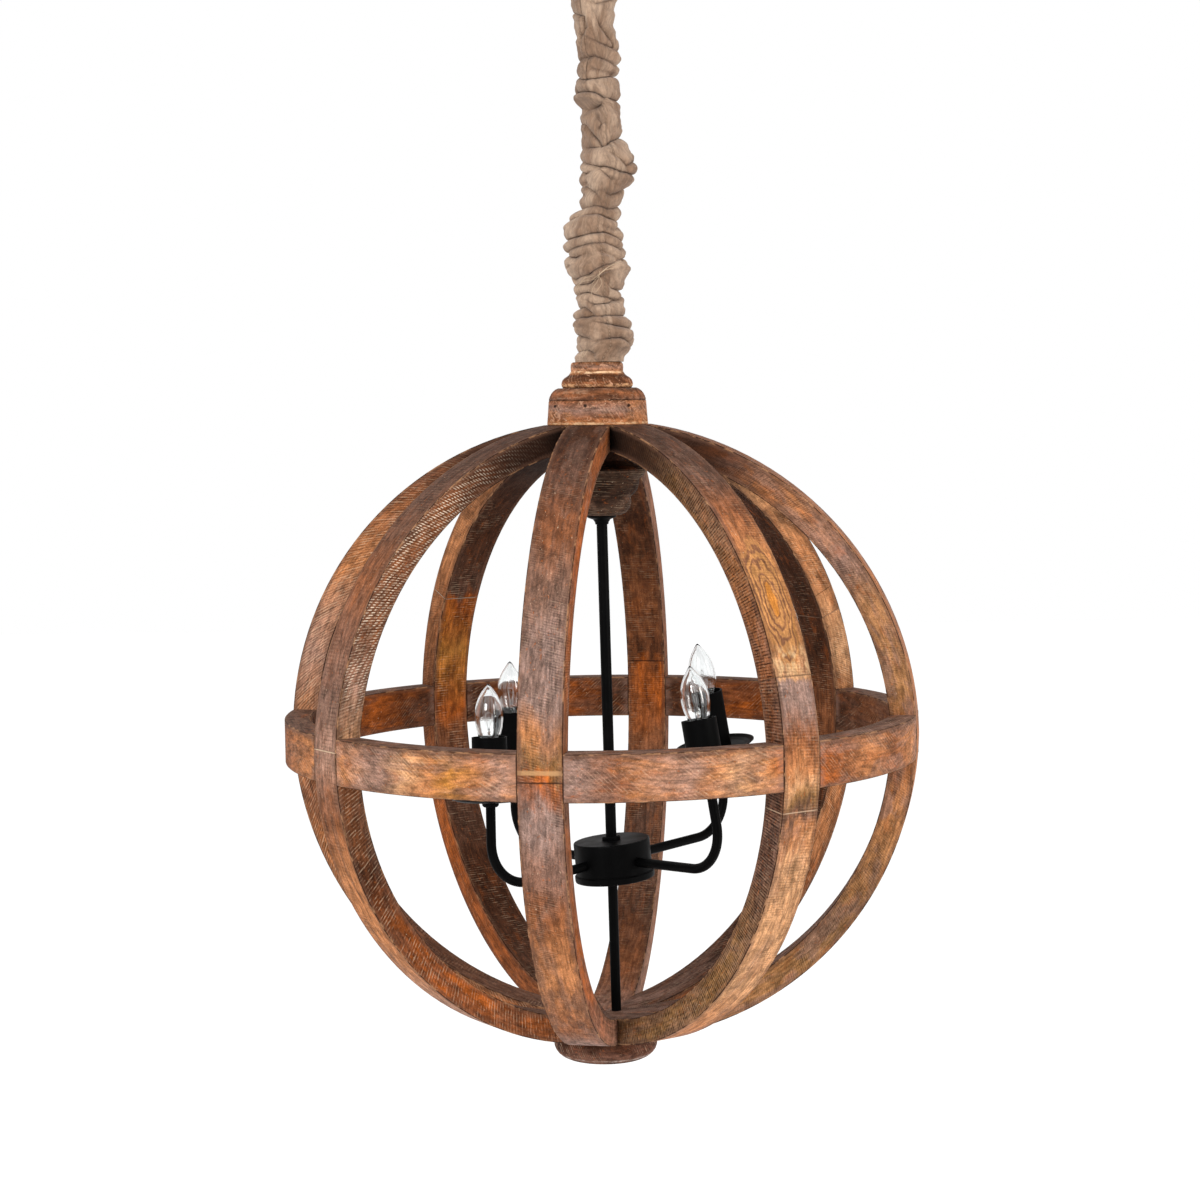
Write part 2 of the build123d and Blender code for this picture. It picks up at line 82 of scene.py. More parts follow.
class Mat:
    """A material with short names for its nodes."""

    def __init__(self, name):
        self.m = bpy.data.materials.new(name)
        self.m.use_nodes = True
        self.t = self.m.node_tree
        self.t.nodes.clear()
        out = self.t.nodes.new("ShaderNodeOutputMaterial")
        self.b = self.t.nodes.new("ShaderNodeBsdfPrincipled")
        self.t.links.new(self.b.outputs[0], out.inputs[0])
        self.P = self.t.nodes.new("ShaderNodeTexCoord").outputs["Object"]

    def put(self, sock, val):
        if isinstance(val, bpy.types.NodeSocket):
            self.t.links.new(val, sock)
        else:
            sock.default_value = val

    def f(self, op, a, b=None, c=None):
        n = self.t.nodes.new("ShaderNodeMath")
        n.operation = op
        for i, v in enumerate((a, b, c)):
            if v is not None:
                self.put(n.inputs[i], v)
        return n.outputs[0]

    def add(self, *vals):
        out = vals[0]
        for v in vals[1:]:
            out = self.f("ADD", out, v)
        return out

    def mul(self, *vals):
        out = vals[0]
        for v in vals[1:]:
            out = self.f("MULTIPLY", out, v)
        return out

    def sep(self, v):
        n = self.t.nodes.new("ShaderNodeSeparateXYZ")
        self.put(n.inputs[0], v)
        return n.outputs[0], n.outputs[1], n.outputs[2]

    def vec(self, x, y, z):
        n = self.t.nodes.new("ShaderNodeCombineXYZ")
        for i, v in enumerate((x, y, z)):
            self.put(n.inputs[i], v)
        return n.outputs[0]

    def scaled(self, v, s, add=(0, 0, 0)):
        n = self.t.nodes.new("ShaderNodeVectorMath")
        n.operation = "MULTIPLY_ADD"
        self.put(n.inputs[0], v)
        n.inputs[1].default_value = s
        n.inputs[2].default_value = add
        return n.outputs[0]

    def gain(self, col, k):
        n = self.t.nodes.new("ShaderNodeVectorMath")
        n.operation = "SCALE"
        self.put(n.inputs[0], col if isinstance(col, bpy.types.NodeSocket) else col[:3])
        self.put(n.inputs[3], k)
        return n.outputs[0]

    def noise(self, v, s, detail=3.0, rough=0.55, dist=0.0, seed=0.0):
        n = self.t.nodes.new("ShaderNodeTexNoise")
        if isinstance(s, (int, float)):
            s = (s, s, s)
        self.put(n.inputs["Vector"], self.scaled(v, s, (seed * 1.37, seed * 2.11, seed * 0.73)))
        n.inputs["Scale"].default_value = 1.0
        n.inputs["Detail"].default_value = detail
        n.inputs["Roughness"].default_value = rough
        n.inputs["Distortion"].default_value = dist
        return n.outputs[0]

    def step(self, v, lo, hi, a=0.0, b=1.0):
        n = self.t.nodes.new("ShaderNodeMapRange")
        n.interpolation_type = "SMOOTHSTEP"
        if lo > hi:
            lo, hi, a, b = hi, lo, b, a
        self.put(n.inputs[0], v)
        for i, x in zip((1, 2, 3, 4), (lo, hi, a, b)):
            n.inputs[i].default_value = x
        return n.outputs[0]

    def mix(self, fac, a, b, kind="MIX"):
        n = self.t.nodes.new("ShaderNodeMix")
        n.data_type = "RGBA"
        n.blend_type = kind
        n.clamp_factor = True
        self.put(n.inputs[0], fac)
        self.put(n.inputs[6], a)
        self.put(n.inputs[7], b)
        return n.outputs[2]

    def ramp(self, fac, stops, kind="LINEAR"):
        n = self.t.nodes.new("ShaderNodeValToRGB")
        n.color_ramp.interpolation = kind
        e = n.color_ramp.elements
        while len(e) > 1:
            e.remove(e[-1])
        stops = sorted(stops, key=lambda s: s[0])
        e[0].position, e[0].color = stops[0][0], stops[0][1]
        for p, c in stops[1:]:
            e.new(p).color = c
        self.put(n.inputs[0], fac)
        return n.outputs[0]

    def bump(self, height, dist, strength=1.0, normal=None):
        n = self.t.nodes.new("ShaderNodeBump")
        n.inputs["Distance"].default_value = dist
        n.inputs["Strength"].default_value = strength
        self.put(n.inputs["Height"], height)
        if normal is not None:
            self.put(n.inputs["Normal"], normal)
        return n.outputs[0]


MAUVE, SMOKE, UMBER, RUST = tone(154, 118, 102), tone(110, 78, 62), tone(84, 48, 28), tone(186, 96, 34)
COPPER, TAN, GOLD, OLIVE = tone(200, 132, 84), tone(216, 160, 114), tone(200, 132, 60), tone(150, 108, 66)
CREAM, BROWN, PINK, DARK = tone(238, 206, 172), tone(154, 94, 58), tone(184, 140, 118), tone(44, 24, 14)
GREY = tone(158, 128, 116)


def wood_finish(M, u, v, w, col, alt, seed, edge=None, hatch=(0, 0.0024, 0.5, 0.3), dash=0.0, dash_mask=None, patch=0.7,
                joints=(), knot=None, extra=None, t=None, glow=0.26, cover=None):
    """Stained, rough-sawn and worn wood. u runs along the grain, v and w across it, all in metres."""
    c = M.vec(u, v, w)
    if t is None:
        t = M.add(v, w)
    # weathered patches over the stain, long along the grain
    big = M.noise(c, (13, 42, 42), 4, 0.62, 0.6, seed + 3)
    col = M.mix(M.mul(M.step(big, 0.44, 0.58), patch), col, alt)
    # stain gone orange in places, and dark streaks along the grain
    warm = M.noise(c, (24, 66, 66), 4, 0.65, 0.5, seed + 25)
    col = M.mix(M.mul(M.step(warm, 0.54, 0.66), glow), col, RUST)
    streak = M.noise(c, (22, 110, 110), 5, 0.74, 1.1, seed + 27)
    col = M.mix(M.mul(M.step(streak, 0.55, 0.68), 0.34), col, UMBER)
    mid = M.noise(c, (60, 110, 110), 5, 0.68, 0.5, seed + 5)
    g = M.step(mid, 0.30, 0.72, 0.56, 1.42)
    fibre = M.noise(c, (34, 460, 460), 4, 0.68, seed=seed + 7)
    g = M.mul(g, M.step(fibre, 0.30, 0.70, 0.76, 1.20))
    speck = M.noise(c, (620, 760, 760), 3, 0.7, seed=seed + 9)
    g = M.mul(g, M.step(speck, 0.30, 0.70, 0.74, 1.26))
    # growth rings cut by the face
    warp = M.noise(c, (6, 26, 26), 3, 0.5, seed=seed + 11)
    rings = M.f("SINE", M.mul(M.add(t, M.mul(warp, 0.045)), 2 * math.pi / 0.0052))
    g = M.mul(g, M.step(rings, -0.2, 1.0, 1.04, 0.84))
    # saw marks across the grain: dark grooves and pale ridges, in some places only
    angle, pitch, dark, pale = hatch
    ca, sa = math.cos(math.radians(angle)), math.sin(math.radians(angle))
    hu = M.add(M.mul(u, ca), M.mul(t, sa))
    hv = M.f("SUBTRACT", M.mul(t, ca), M.mul(u, sa))
    hc = M.vec(hu, hv, w)
    wave = M.f("SINE", M.add(M.mul(hu, 2 * math.pi / pitch), M.mul(M.noise(hc, (130, 32, 32), 2, 0.5, seed=seed + 13), 5.0)))
    lines = M.add(M.mul(wave, 0.24), M.noise(hc, (420, 90, 90), 2, 0.6, seed=seed + 14))
    where = M.noise(c, (18, 34, 34), 3, 0.6, seed=seed + 15)
    where = M.step(M.add(where, cover) if cover is not None else where, 0.42, 0.62)
    groove, ridge = M.mul(M.step(lines, 0.42, 0.20), where), M.mul(M.step(lines, 0.66, 0.84), where)
    g = M.mul(g, M.f("SUBTRACT", 1.0, M.mul(groove, dark)))
    col = M.gain(col, g)
    col = M.mix(M.mul(ridge, pale), col, CREAM)
    # odd specks of orange stain, of bare, pale wood and of dirt
    col = M.mix(M.mul(M.step(M.noise(c, (210, 330, 330), 3, 0.6, seed=seed + 17), 0.62, 0.72), 0.5), col, RUST)
    col = M.mix(M.mul(M.step(M.noise(c, (300, 500, 500), 2, 0.6, seed=seed + 19), 0.69, 0.75), 0.55), col, CREAM)
    col = M.mix(M.mul(M.step(M.noise(c, (150, 240, 240), 2, 0.6, seed=seed + 20), 0.70, 0.76), 0.6), col, DARK)
    if dash:
        drift = M.noise(c, (34, 90, 90), 3, 0.6, seed=seed + 22)
        row = M.f("SINE", M.add(M.mul(hv, 2 * math.pi / 0.0064), M.mul(hu, 420.0), M.mul(drift, 11.0)))
        line = M.f("SINE", M.add(M.mul(hu, 2 * math.pi / 0.0030), M.mul(M.noise(c, 90, 2, 0.5, seed=seed + 21), 4.5)))
        some = M.step(M.noise(c, (36, 120, 120), 4, 0.7, seed=seed + 29), 0.38, 0.60, 0.12, 1.0)
        marks = M.mul(M.step(line, -0.05, 0.75), M.step(row, -0.45, 0.25), dash_mask, some)
        col = M.mix(M.mul(M.step(line, -0.30, -0.75), dash_mask, 0.45), col, UMBER)
        col = M.mix(M.mul(marks, dash), col, tone(250, 226, 200))
    if knot is not None:
        col = knot(col, g)
    if extra is not None:
        col = extra(col)
    h = M.add(M.mul(fibre, 0.45), M.mul(mid, 0.5), M.mul(M.mul(lines, where), 0.55), M.mul(speck, 0.30))
    for d, width, tint, amount in joints:
        col = M.mix(M.mul(M.step(d, width, width * 0.4), amount), col, tint)
    for d, width, tint, amount in joints[:1]:
        h = M.f("SUBTRACT", h, M.step(d, width * 1.4, width * 0.3, 0.0, 0.9))
    if edge is not None:
        rag = M.noise(c, (70, 160, 160), 4, 0.65, seed=seed + 23)
        e = M.add(edge, M.mul(M.f("SUBTRACT", rag, 0.5), 0.0042))
        col = M.mix(M.mul(M.step(e, 0.0062, 0.0022), 0.42), col, SMOKE)
        col = M.mix(M.mul(M.step(e, 0.0026, 0.0006), M.step(rag, 0.46, 0.60), 0.60), col, TAN)
        col = M.mix(M.mul(M.step(edge, 0.0015, 0.0003), M.step(rag, 0.66, 0.46), 0.90), col, DARK)
    M.put(M.b.inputs["Base Color"], col)
    M.put(M.b.inputs["Roughness"], M.step(mid, 0.25, 0.75, 0.82, 0.64))
    M.b.inputs["Specular IOR Level"].default_value = 0.08
    M.put(M.b.inputs["Normal"], M.bump(h, 0.0013, 0.68))
    return M.m


def rib_material(k, outer, side, inner, alt, seed, hatch, dash=0.0, lines=(), knot=None, patch=0.7, side_shade=0.92, glow=0.26,
                 side_cover=0.04):
    """Colours run with the height angle (degrees over the ring) on the outer, side and inner faces; each rib sets how
    much painted shade its side faces get under the hub.
    """
    M = Mat("wood_rib_%d" % k)
    a = math.radians(RIB_AZ0 + 45.0 * (k - 1) - 90.0)
    x, y, z = M.sep(M.P)
    xr = M.add(M.mul(x, math.cos(a)), M.mul(y, math.sin(a)))
    yt = M.f("SUBTRACT", M.mul(y, math.cos(a)), M.mul(x, math.sin(a)))
    zz = M.f("SUBTRACT", z, OC)
    th = M.f("ARCTAN2", zz, M.f("MAXIMUM", xr, 0.0001))
    t01 = M.add(M.f("DIVIDE", th, math.pi), 0.5)
    za = M.add(M.f("ABSOLUTE", zz), 0.005)
    r = M.f("SQRT", M.add(M.mul(xr, xr), M.mul(za, za)))
    arc = M.mul(th, 0.34)
    # the grain starts afresh at a glue joint
    u = arc
    for at, width, tint, amount in lines[:1]:
        u = M.add(u, M.mul(M.f("GREATER_THAN", th, math.radians(at)), 7.3))
    dv = M.f("SUBTRACT", RIB_W / 2, M.f("ABSOLUTE", yt))
    dw = M.f("SUBTRACT", RIB_T / 2, M.f("ABSOLUTE", M.f("SUBTRACT", r, ORB_R - RIB_T / 2)))
    edge = M.f("MAXIMUM", dv, dw)
    on_side = M.step(dv, 0.0010, 0.0004)
    on_in = M.step(M.f("SUBTRACT", r, ORB_R - RIB_T), 0.0022, 0.0010)
    shift = M.mul(M.f("SUBTRACT", M.noise(M.vec(arc, yt, r), (22, 40, 40), 4, 0.6, seed=seed), 0.5), 0.085)
    tj = M.add(t01, shift)

    def deg(st):
        return [((p + 90.0) / 180.0, cc) for p, cc in st]

    col = M.mix(on_side, M.mix(on_in, M.ramp(tj, deg(outer)), M.ramp(tj, deg(inner))), M.ramp(tj, deg(side)))
    joints = [(M.f("ABSOLUTE", M.f("SUBTRACT", arc, math.radians(at) * 0.34)), width, tint, amount) for at, width, tint, amount in lines]

    def paint_knot(cc, g):
        on_out = M.mul(M.f("SUBTRACT", 1.0, on_side), M.f("SUBTRACT", 1.0, on_in))
        k0, kv = math.radians(knot[0]) * 0.34, knot[1]
        wv = M.vec(arc, yt, 0.0)
        w1 = M.mul(M.f("SUBTRACT", M.noise(wv, (34, 64, 60), 3, 0.55, 0.3, seed=seed + 31), 0.5), 0.018)
        du = M.mul(M.f("SUBTRACT", arc, k0), 0.33)
        dy = M.f("SUBTRACT", yt, kv)
        d = M.add(M.f("SQRT", M.add(M.mul(du, du), M.mul(dy, dy))), w1)
        thin = M.mul(M.noise(wv, (260, 300, 60), 3, 0.6, seed=seed + 33), 0.9)
        wide = M.mul(M.noise(wv, (40, 60, 60), 2, 0.5, seed=seed + 34), 1.7)
        band = M.step(M.add(M.f("SINE", M.mul(M.f("POWER", M.f("MAXIMUM", d, 0.0001), 0.85), 2 * math.pi / 0.0082)),
                            M.f("SUBTRACT", thin, 0.45), M.f("SUBTRACT", wide, 0.85)), -0.55, 1.15)
        kc = M.mix(M.mul(band, 0.85), tone(202, 142, 86), tone(116, 74, 58))
        kc = M.mix(M.mul(M.step(thin, 0.50, 0.64), 0.40), kc, tone(150, 98, 66))
        kc = M.mix(M.mul(M.step(d, 0.0056, 0.0028), 0.8), kc, tone(214, 134, 48))
        kc = M.gain(kc, M.add(M.mul(g, 0.72), 0.30))
        cc = M.mix(M.mul(M.step(d, 0.0265, 0.0185), on_out, 0.92), cc, kc)
        low = M.mul(M.step(M.f("ABSOLUTE", M.f("SUBTRACT", arc, k0 - 0.066)), 0.020, 0.006), on_out,
                    M.step(M.noise(wv, (60, 90, 60), 3, 0.6, seed=seed + 35), 0.42, 0.56))
        return M.mix(M.mul(low, 0.7), cc, M.gain(tone(230, 190, 142), M.add(M.mul(g, 0.5), 0.5)))

    def shade(cc):
        # painted shade under the hub: the side and inner faces there are darkened, the outer faces a little, and the
        # side faces nearest the hub go near black
        top = M.step(th, math.radians(46), math.radians(71))
        flat = M.f("SUBTRACT", 1.0, on_side)
        out = M.mul(flat, M.f("SUBTRACT", 1.0, on_in), 0.36)
        cc = M.mix(M.mul(top, M.add(M.mul(on_side, side_shade), M.mul(flat, on_in, 0.92), out)), cc, DARK)
        return M.mix(M.mul(M.step(th, math.radians(73), math.radians(80)), on_side, side_shade), cc, tone(14, 8, 5))

    def per_face(i):
        o, s, n = ((hatch[j][i],) * 3 + (1.0,) for j in range(3))
        return M.mix(on_side, M.mix(on_in, o, n), s)

    # side faces have their own direction of saw marks
    us = M.add(u, M.mul(M.f("SUBTRACT", r, ORB_R - RIB_T / 2), math.tan(math.radians(hatch[1][0])), on_side))
    upper_half = M.mul(on_side, M.step(th, math.radians(5), math.radians(17)), M.step(th, math.radians(82), math.radians(66)))
    return wood_finish(M, us, yt, r, col, alt, seed, edge, (hatch[0][0], hatch[0][1], per_face(2), per_face(3)), dash, upper_half,
                       patch, joints, paint_knot if knot else None, shade, glow=glow, cover=M.mul(on_side, side_cover))


def ring_material(k, outer, alt, seed, hatch=(52, 0.0034, 0.26, 0.22), patch=0.75, inner=(UMBER, BROWN)):
    M = Mat("wood_ring_%d" % k)
    a = math.radians(RIB_AZ0 + 45.0 * (k - 1) + 22.5 - 90.0)
    x, y, z = M.sep(M.P)
    xr = M.add(M.mul(x, math.cos(a)), M.mul(y, math.sin(a)))
    yt = M.f("SUBTRACT", M.mul(y, math.cos(a)), M.mul(x, math.sin(a)))
    zz = M.f("SUBTRACT", z, OC)
    r = M.f("SQRT", M.add(M.mul(x, x), M.mul(y, y)))
    dv = M.f("SUBTRACT", RING_H / 2, M.f("ABSOLUTE", zz))
    dw = M.f("SUBTRACT", RIB_T / 2, M.f("ABSOLUTE", M.f("SUBTRACT", r, ORB_R - RIB_T / 2)))
    edge = M.f("MAXIMUM", dv, dw)
    on_top = M.step(dv, 0.0010, 0.0004)
    on_in = M.step(M.f("SUBTRACT", r, ORB_R - RIB_T), 0.0022, 0.0010)
    shift = M.mul(M.f("SUBTRACT", M.noise(M.vec(yt, zz, 0.0), (20, 50, 1), 4, 0.6, seed=seed), 0.5), 0.30)
    s01 = M.add(M.f("DIVIDE", yt, 0.25), 0.5, shift)
    n = len(outer) - 1
    oc = M.ramp(s01, [(i / n, cc) for i, cc in enumerate(outer)])
    ic = M.ramp(s01, [(0.15, inner[0]), (0.5, inner[1]), (0.85, inner[0])])
    col = M.mix(on_top, M.mix(on_in, oc, ic), SMOKE)
    # a grey, dark band along the upper edge, as wear and dirt leave it
    rag = M.noise(M.vec(yt, zz, r), (26, 90, 90), 4, 0.65, seed=seed + 41)
    up = M.mul(M.step(M.add(zz, M.mul(rag, 0.020)), RING_H / 2 + 0.002, RING_H / 2 + 0.008), M.f("SUBTRACT", 1.0, on_in))
    col = M.mix(M.mul(up, 0.65), col, SMOKE)

    def ends(cc):
        # greyer wood, and a dark line against the ribs: a joint line with painted shade where the ring meets them
        ca, sa = math.cos(math.radians(22.5)), math.sin(math.radians(22.5))
        plane = M.f("SUBTRACT", M.mul(xr, sa), M.mul(M.f("ABSOLUTE", yt), ca))
        d = M.f("ABSOLUTE", M.f("SUBTRACT", plane, RIB_W / 2))
        cc = M.mix(M.mul(M.step(d, 0.0115, 0.002), M.step(rag, 0.40, 0.58), 0.5), cc, MAUVE)
        return M.mix(M.mul(M.step(d, 0.0013, 0.0004), 0.75), cc, DARK)

    return wood_finish(M, yt, zz, xr, col, alt, seed, edge, hatch, patch=patch, extra=ends)


def turned_material(name, stops, alt, seed, hatch=(90, 0.0030, 0.35, 0.25), patch=0.6, bands=(), dots=(), highlight_and_dark_blotches=0.0):
    """Turned wood: the colour runs with the height, stops are [(height over the orb's middle, colour)]; the last
    argument scales pale blotches of painted highlight and dark blotches.
    """
    M = Mat(name)
    x, y, z = M.sep(M.P)
    zz = M.f("SUBTRACT", z, OC)
    rag = M.noise(M.P, 60, 4, 0.65, seed=seed + 41)
    lo, hi = min(s[0] for s in stops), max(s[0] for s in stops)
    h01 = M.f("DIVIDE", M.f("SUBTRACT", M.add(zz, M.mul(M.f("SUBTRACT", rag, 0.5), 0.006)), lo), hi - lo)
    col = M.ramp(h01, [((s[0] - lo) / (hi - lo), s[1]) for s in stops])

    def more(cc):
        blot = M.step(M.noise(M.P, (80, 80, 150), 4, 0.7, 0.6, seed=seed + 43), 0.42, 0.60, 0.10, 1.0)
        if highlight_and_dark_blotches:
            # pale blotches of painted highlight, and dark blotches
            highlight_blotch = M.step(M.noise(M.P, (110, 110, 170), 5, 0.75, 1.2, seed=seed + 45), 0.55, 0.64)
            cc = M.mix(M.mul(highlight_blotch, highlight_and_dark_blotches), cc, tone(248, 190, 152))
            deep = M.step(M.noise(M.P, (120, 120, 200), 4, 0.7, 1.0, seed=seed + 47), 0.60, 0.68)
            cc = M.mix(M.mul(deep, highlight_and_dark_blotches), cc, DARK)
        for hgt, width, colour, amount in bands:
            d = M.f("ABSOLUTE", M.f("SUBTRACT", zz, hgt))
            dd = M.add(d, M.mul(M.f("SUBTRACT", rag, 0.5), width * 2.2))
            cc = M.mix(M.mul(M.step(dd, width, width * 0.25), amount, blot), cc, colour)
        for px, pz, rad in dots:
            dx, dz = M.f("SUBTRACT", x, px), M.f("SUBTRACT", zz, pz)
            d = M.f("SQRT", M.add(M.mul(dx, dx), M.mul(dz, dz)))
            cc = M.mix(M.mul(M.step(d, rad, rad * 0.5), M.step(y, 0.0, -0.001), 0.92), cc, tone(26, 14, 10))
        return cc

    radius = M.f("SQRT", M.add(M.mul(x, x), M.mul(y, y)))
    return wood_finish(M, x, zz, y, col, alt, seed, None, hatch, patch=patch, extra=more, t=M.add(zz, radius), glow=0.10)


def metal_material(name, colour, rough, spec, metallic=0.0):
    M = Mat(name)
    n = M.noise(M.P, 60, 4, 0.6)
    fine = M.noise(M.P, 900, 2, 0.6)
    lighter = tuple(min(1.0, 1.8 * c + 0.001) for c in colour[:3]) + (1.0,)
    M.put(M.b.inputs["Base Color"], M.mix(M.mul(M.step(n, 0.45, 0.75), 0.5), colour, lighter))
    M.put(M.b.inputs["Roughness"], M.step(n, 0.2, 0.8, rough - 0.05, rough + 0.07))
    M.b.inputs["Specular IOR Level"].default_value = spec
    M.b.inputs["Metallic"].default_value = metallic
    M.put(M.b.inputs["Normal"], M.bump(fine, 0.00010, 0.35))
    return M.m


def glass_material():
    M = Mat("bulb_clear_glass")
    M.b.inputs["Base Color"].default_value = (0.97, 0.98, 0.98, 1.0)
    M.b.inputs["Transmission Weight"].default_value = 1.0
    M.b.inputs["IOR"].default_value = 1.50
    n = M.noise(M.P, (45, 45, 30), 2, 0.5)
    M.put(M.b.inputs["Roughness"], M.step(n, 0.3, 0.8, 0.0, 0.004))
    M.put(M.b.inputs["Normal"], M.bump(n, 0.0004, 0.12))
    return M.m


def linen_material():
    M = Mat("linen_weave")
    uv = M.t.nodes.new("ShaderNodeUVMap")
    uv.uv_map = "cloth"
    u, v, _ = M.sep(uv.outputs[0])            # metres along and round the cloth
    c = M.vec(u, v, 0.0)
    slub = M.noise(c, (30, 900, 1), 3, 0.6)
    slub2 = M.noise(c, (900, 30, 1), 3, 0.6, seed=4)
    wu = M.f("SINE", M.add(M.mul(u, 2 * math.pi / 0.0011), M.mul(slub2, 3.0)))
    wv = M.f("SINE", M.add(M.mul(v, 2 * math.pi / 0.0011), M.mul(slub, 3.0)))
    weave = M.mul(M.add(M.mul(wu, wv), 1.0), 0.5)
    soft = M.noise(c, (14, 26, 1), 4, 0.6, seed=8)
    fine = M.noise(c, (240, 240, 1), 3, 0.65, seed=9)
    col = M.mix(M.step(soft, 0.36, 0.64), lin(124, 98, 79), lin(164, 139, 118))
    col = M.gain(col, M.step(fine, 0.3, 0.7, 0.76, 1.22))
    col = M.mix(M.mul(M.step(weave, 0.45, 0.05), 0.34), col, lin(84, 64, 50))
    col = M.mix(M.mul(M.step(slub, 0.58, 0.74), 0.35), col, lin(176, 156, 134))
    col = M.mix(M.mul(M.step(slub2, 0.58, 0.74), 0.28), col, lin(100, 80, 64))
    # the stitched seam runs beside the overlapped edge
    d = M.f("ABSOLUTE", M.f("SUBTRACT", v, 0.1700))
    stitch = M.mul(M.step(d, 0.00055, 0.00025), M.step(M.f("SINE", M.mul(u, 2 * math.pi / 0.0034)), -0.35, 0.1))
    col = M.mix(M.mul(M.step(d, 0.0016, 0.0004), 0.50), col, lin(88, 66, 50))
    col = M.mix(M.mul(stitch, 0.35), col, lin(176, 154, 132))
    M.put(M.b.inputs["Base Color"], col)
    M.b.inputs["Roughness"].default_value = 0.95
    M.b.inputs["Specular IOR Level"].default_value = 0.10
    M.b.inputs["Sheen Weight"].default_value = 0.12
    M.b.inputs["Sheen Roughness"].default_value = 0.5
    M.put(M.b.inputs["Normal"], M.bump(M.add(weave, M.mul(fine, 0.8), M.mul(stitch, 1.5)), 0.00035, 0.7))
    return M.m


# ------------------------------------------------------------------ assign
def paint(node, mat):
    o = NODES[node]
    if not o.material_slots:
        o.data.materials.append(mat)
    for s in o.material_slots:
        s.material = mat


def smooth_group():
    """Smooth shading over gentle edges, with sharp edges kept, as a modifier."""
    g = bpy.data.node_groups.new("smooth_by_angle", "GeometryNodeTree")
    g.interface.new_socket("Mesh", in_out="INPUT", socket_type="NodeSocketGeometry")
    g.interface.new_socket("Mesh", in_out="OUTPUT", socket_type="NodeSocketGeometry")
    n = g.nodes
    i, o = n.new("NodeGroupInput"), n.new("NodeGroupOutput")
    rem = n.new("GeometryNodeRemoveAttribute")
    rem.inputs["Name"].default_value = "custom_normal"
    ang = n.new("GeometryNodeInputMeshEdgeAngle")
    over = n.new("FunctionNodeCompare")
    over.data_type, over.operation = "FLOAT", "GREATER_THAN"
    over.inputs[1].default_value = math.radians(38)
    st = n.new("GeometryNodeStoreNamedAttribute")
    st.data_type, st.domain = "BOOLEAN", "EDGE"
    st.inputs["Name"].default_value = "sharp_edge"
    sm = n.new("GeometryNodeSetShadeSmooth")
    sm.domain = "FACE"
    sm.inputs["Shade Smooth"].default_value = True
    g.links.new(i.outputs[0], rem.inputs[0])
    g.links.new(rem.outputs[0], st.inputs["Geometry"])
    g.links.new(ang.outputs["Unsigned Angle"], over.inputs[0])
    g.links.new(over.outputs[0], st.inputs["Value"])
    g.links.new(st.outputs[0], sm.inputs["Geometry"])
    g.links.new(sm.outputs[0], o.inputs[0])
    return g


SMOOTH = smooth_group()


def soften(node, width, segments=3):
    """Rounds a wooden node's sharp edges a little."""
    o = NODES[node]
    weld = o.modifiers.new("weld", "WELD")
    weld.merge_threshold = 0.00001
    bev = o.modifiers.new("edges", "BEVEL")
    bev.width = width
    bev.segments = segments
    bev.limit_method = "ANGLE"
    bev.angle_limit = math.radians(40)
    sm = o.modifiers.new("smooth", "NODES")
    sm.node_group = SMOOTH


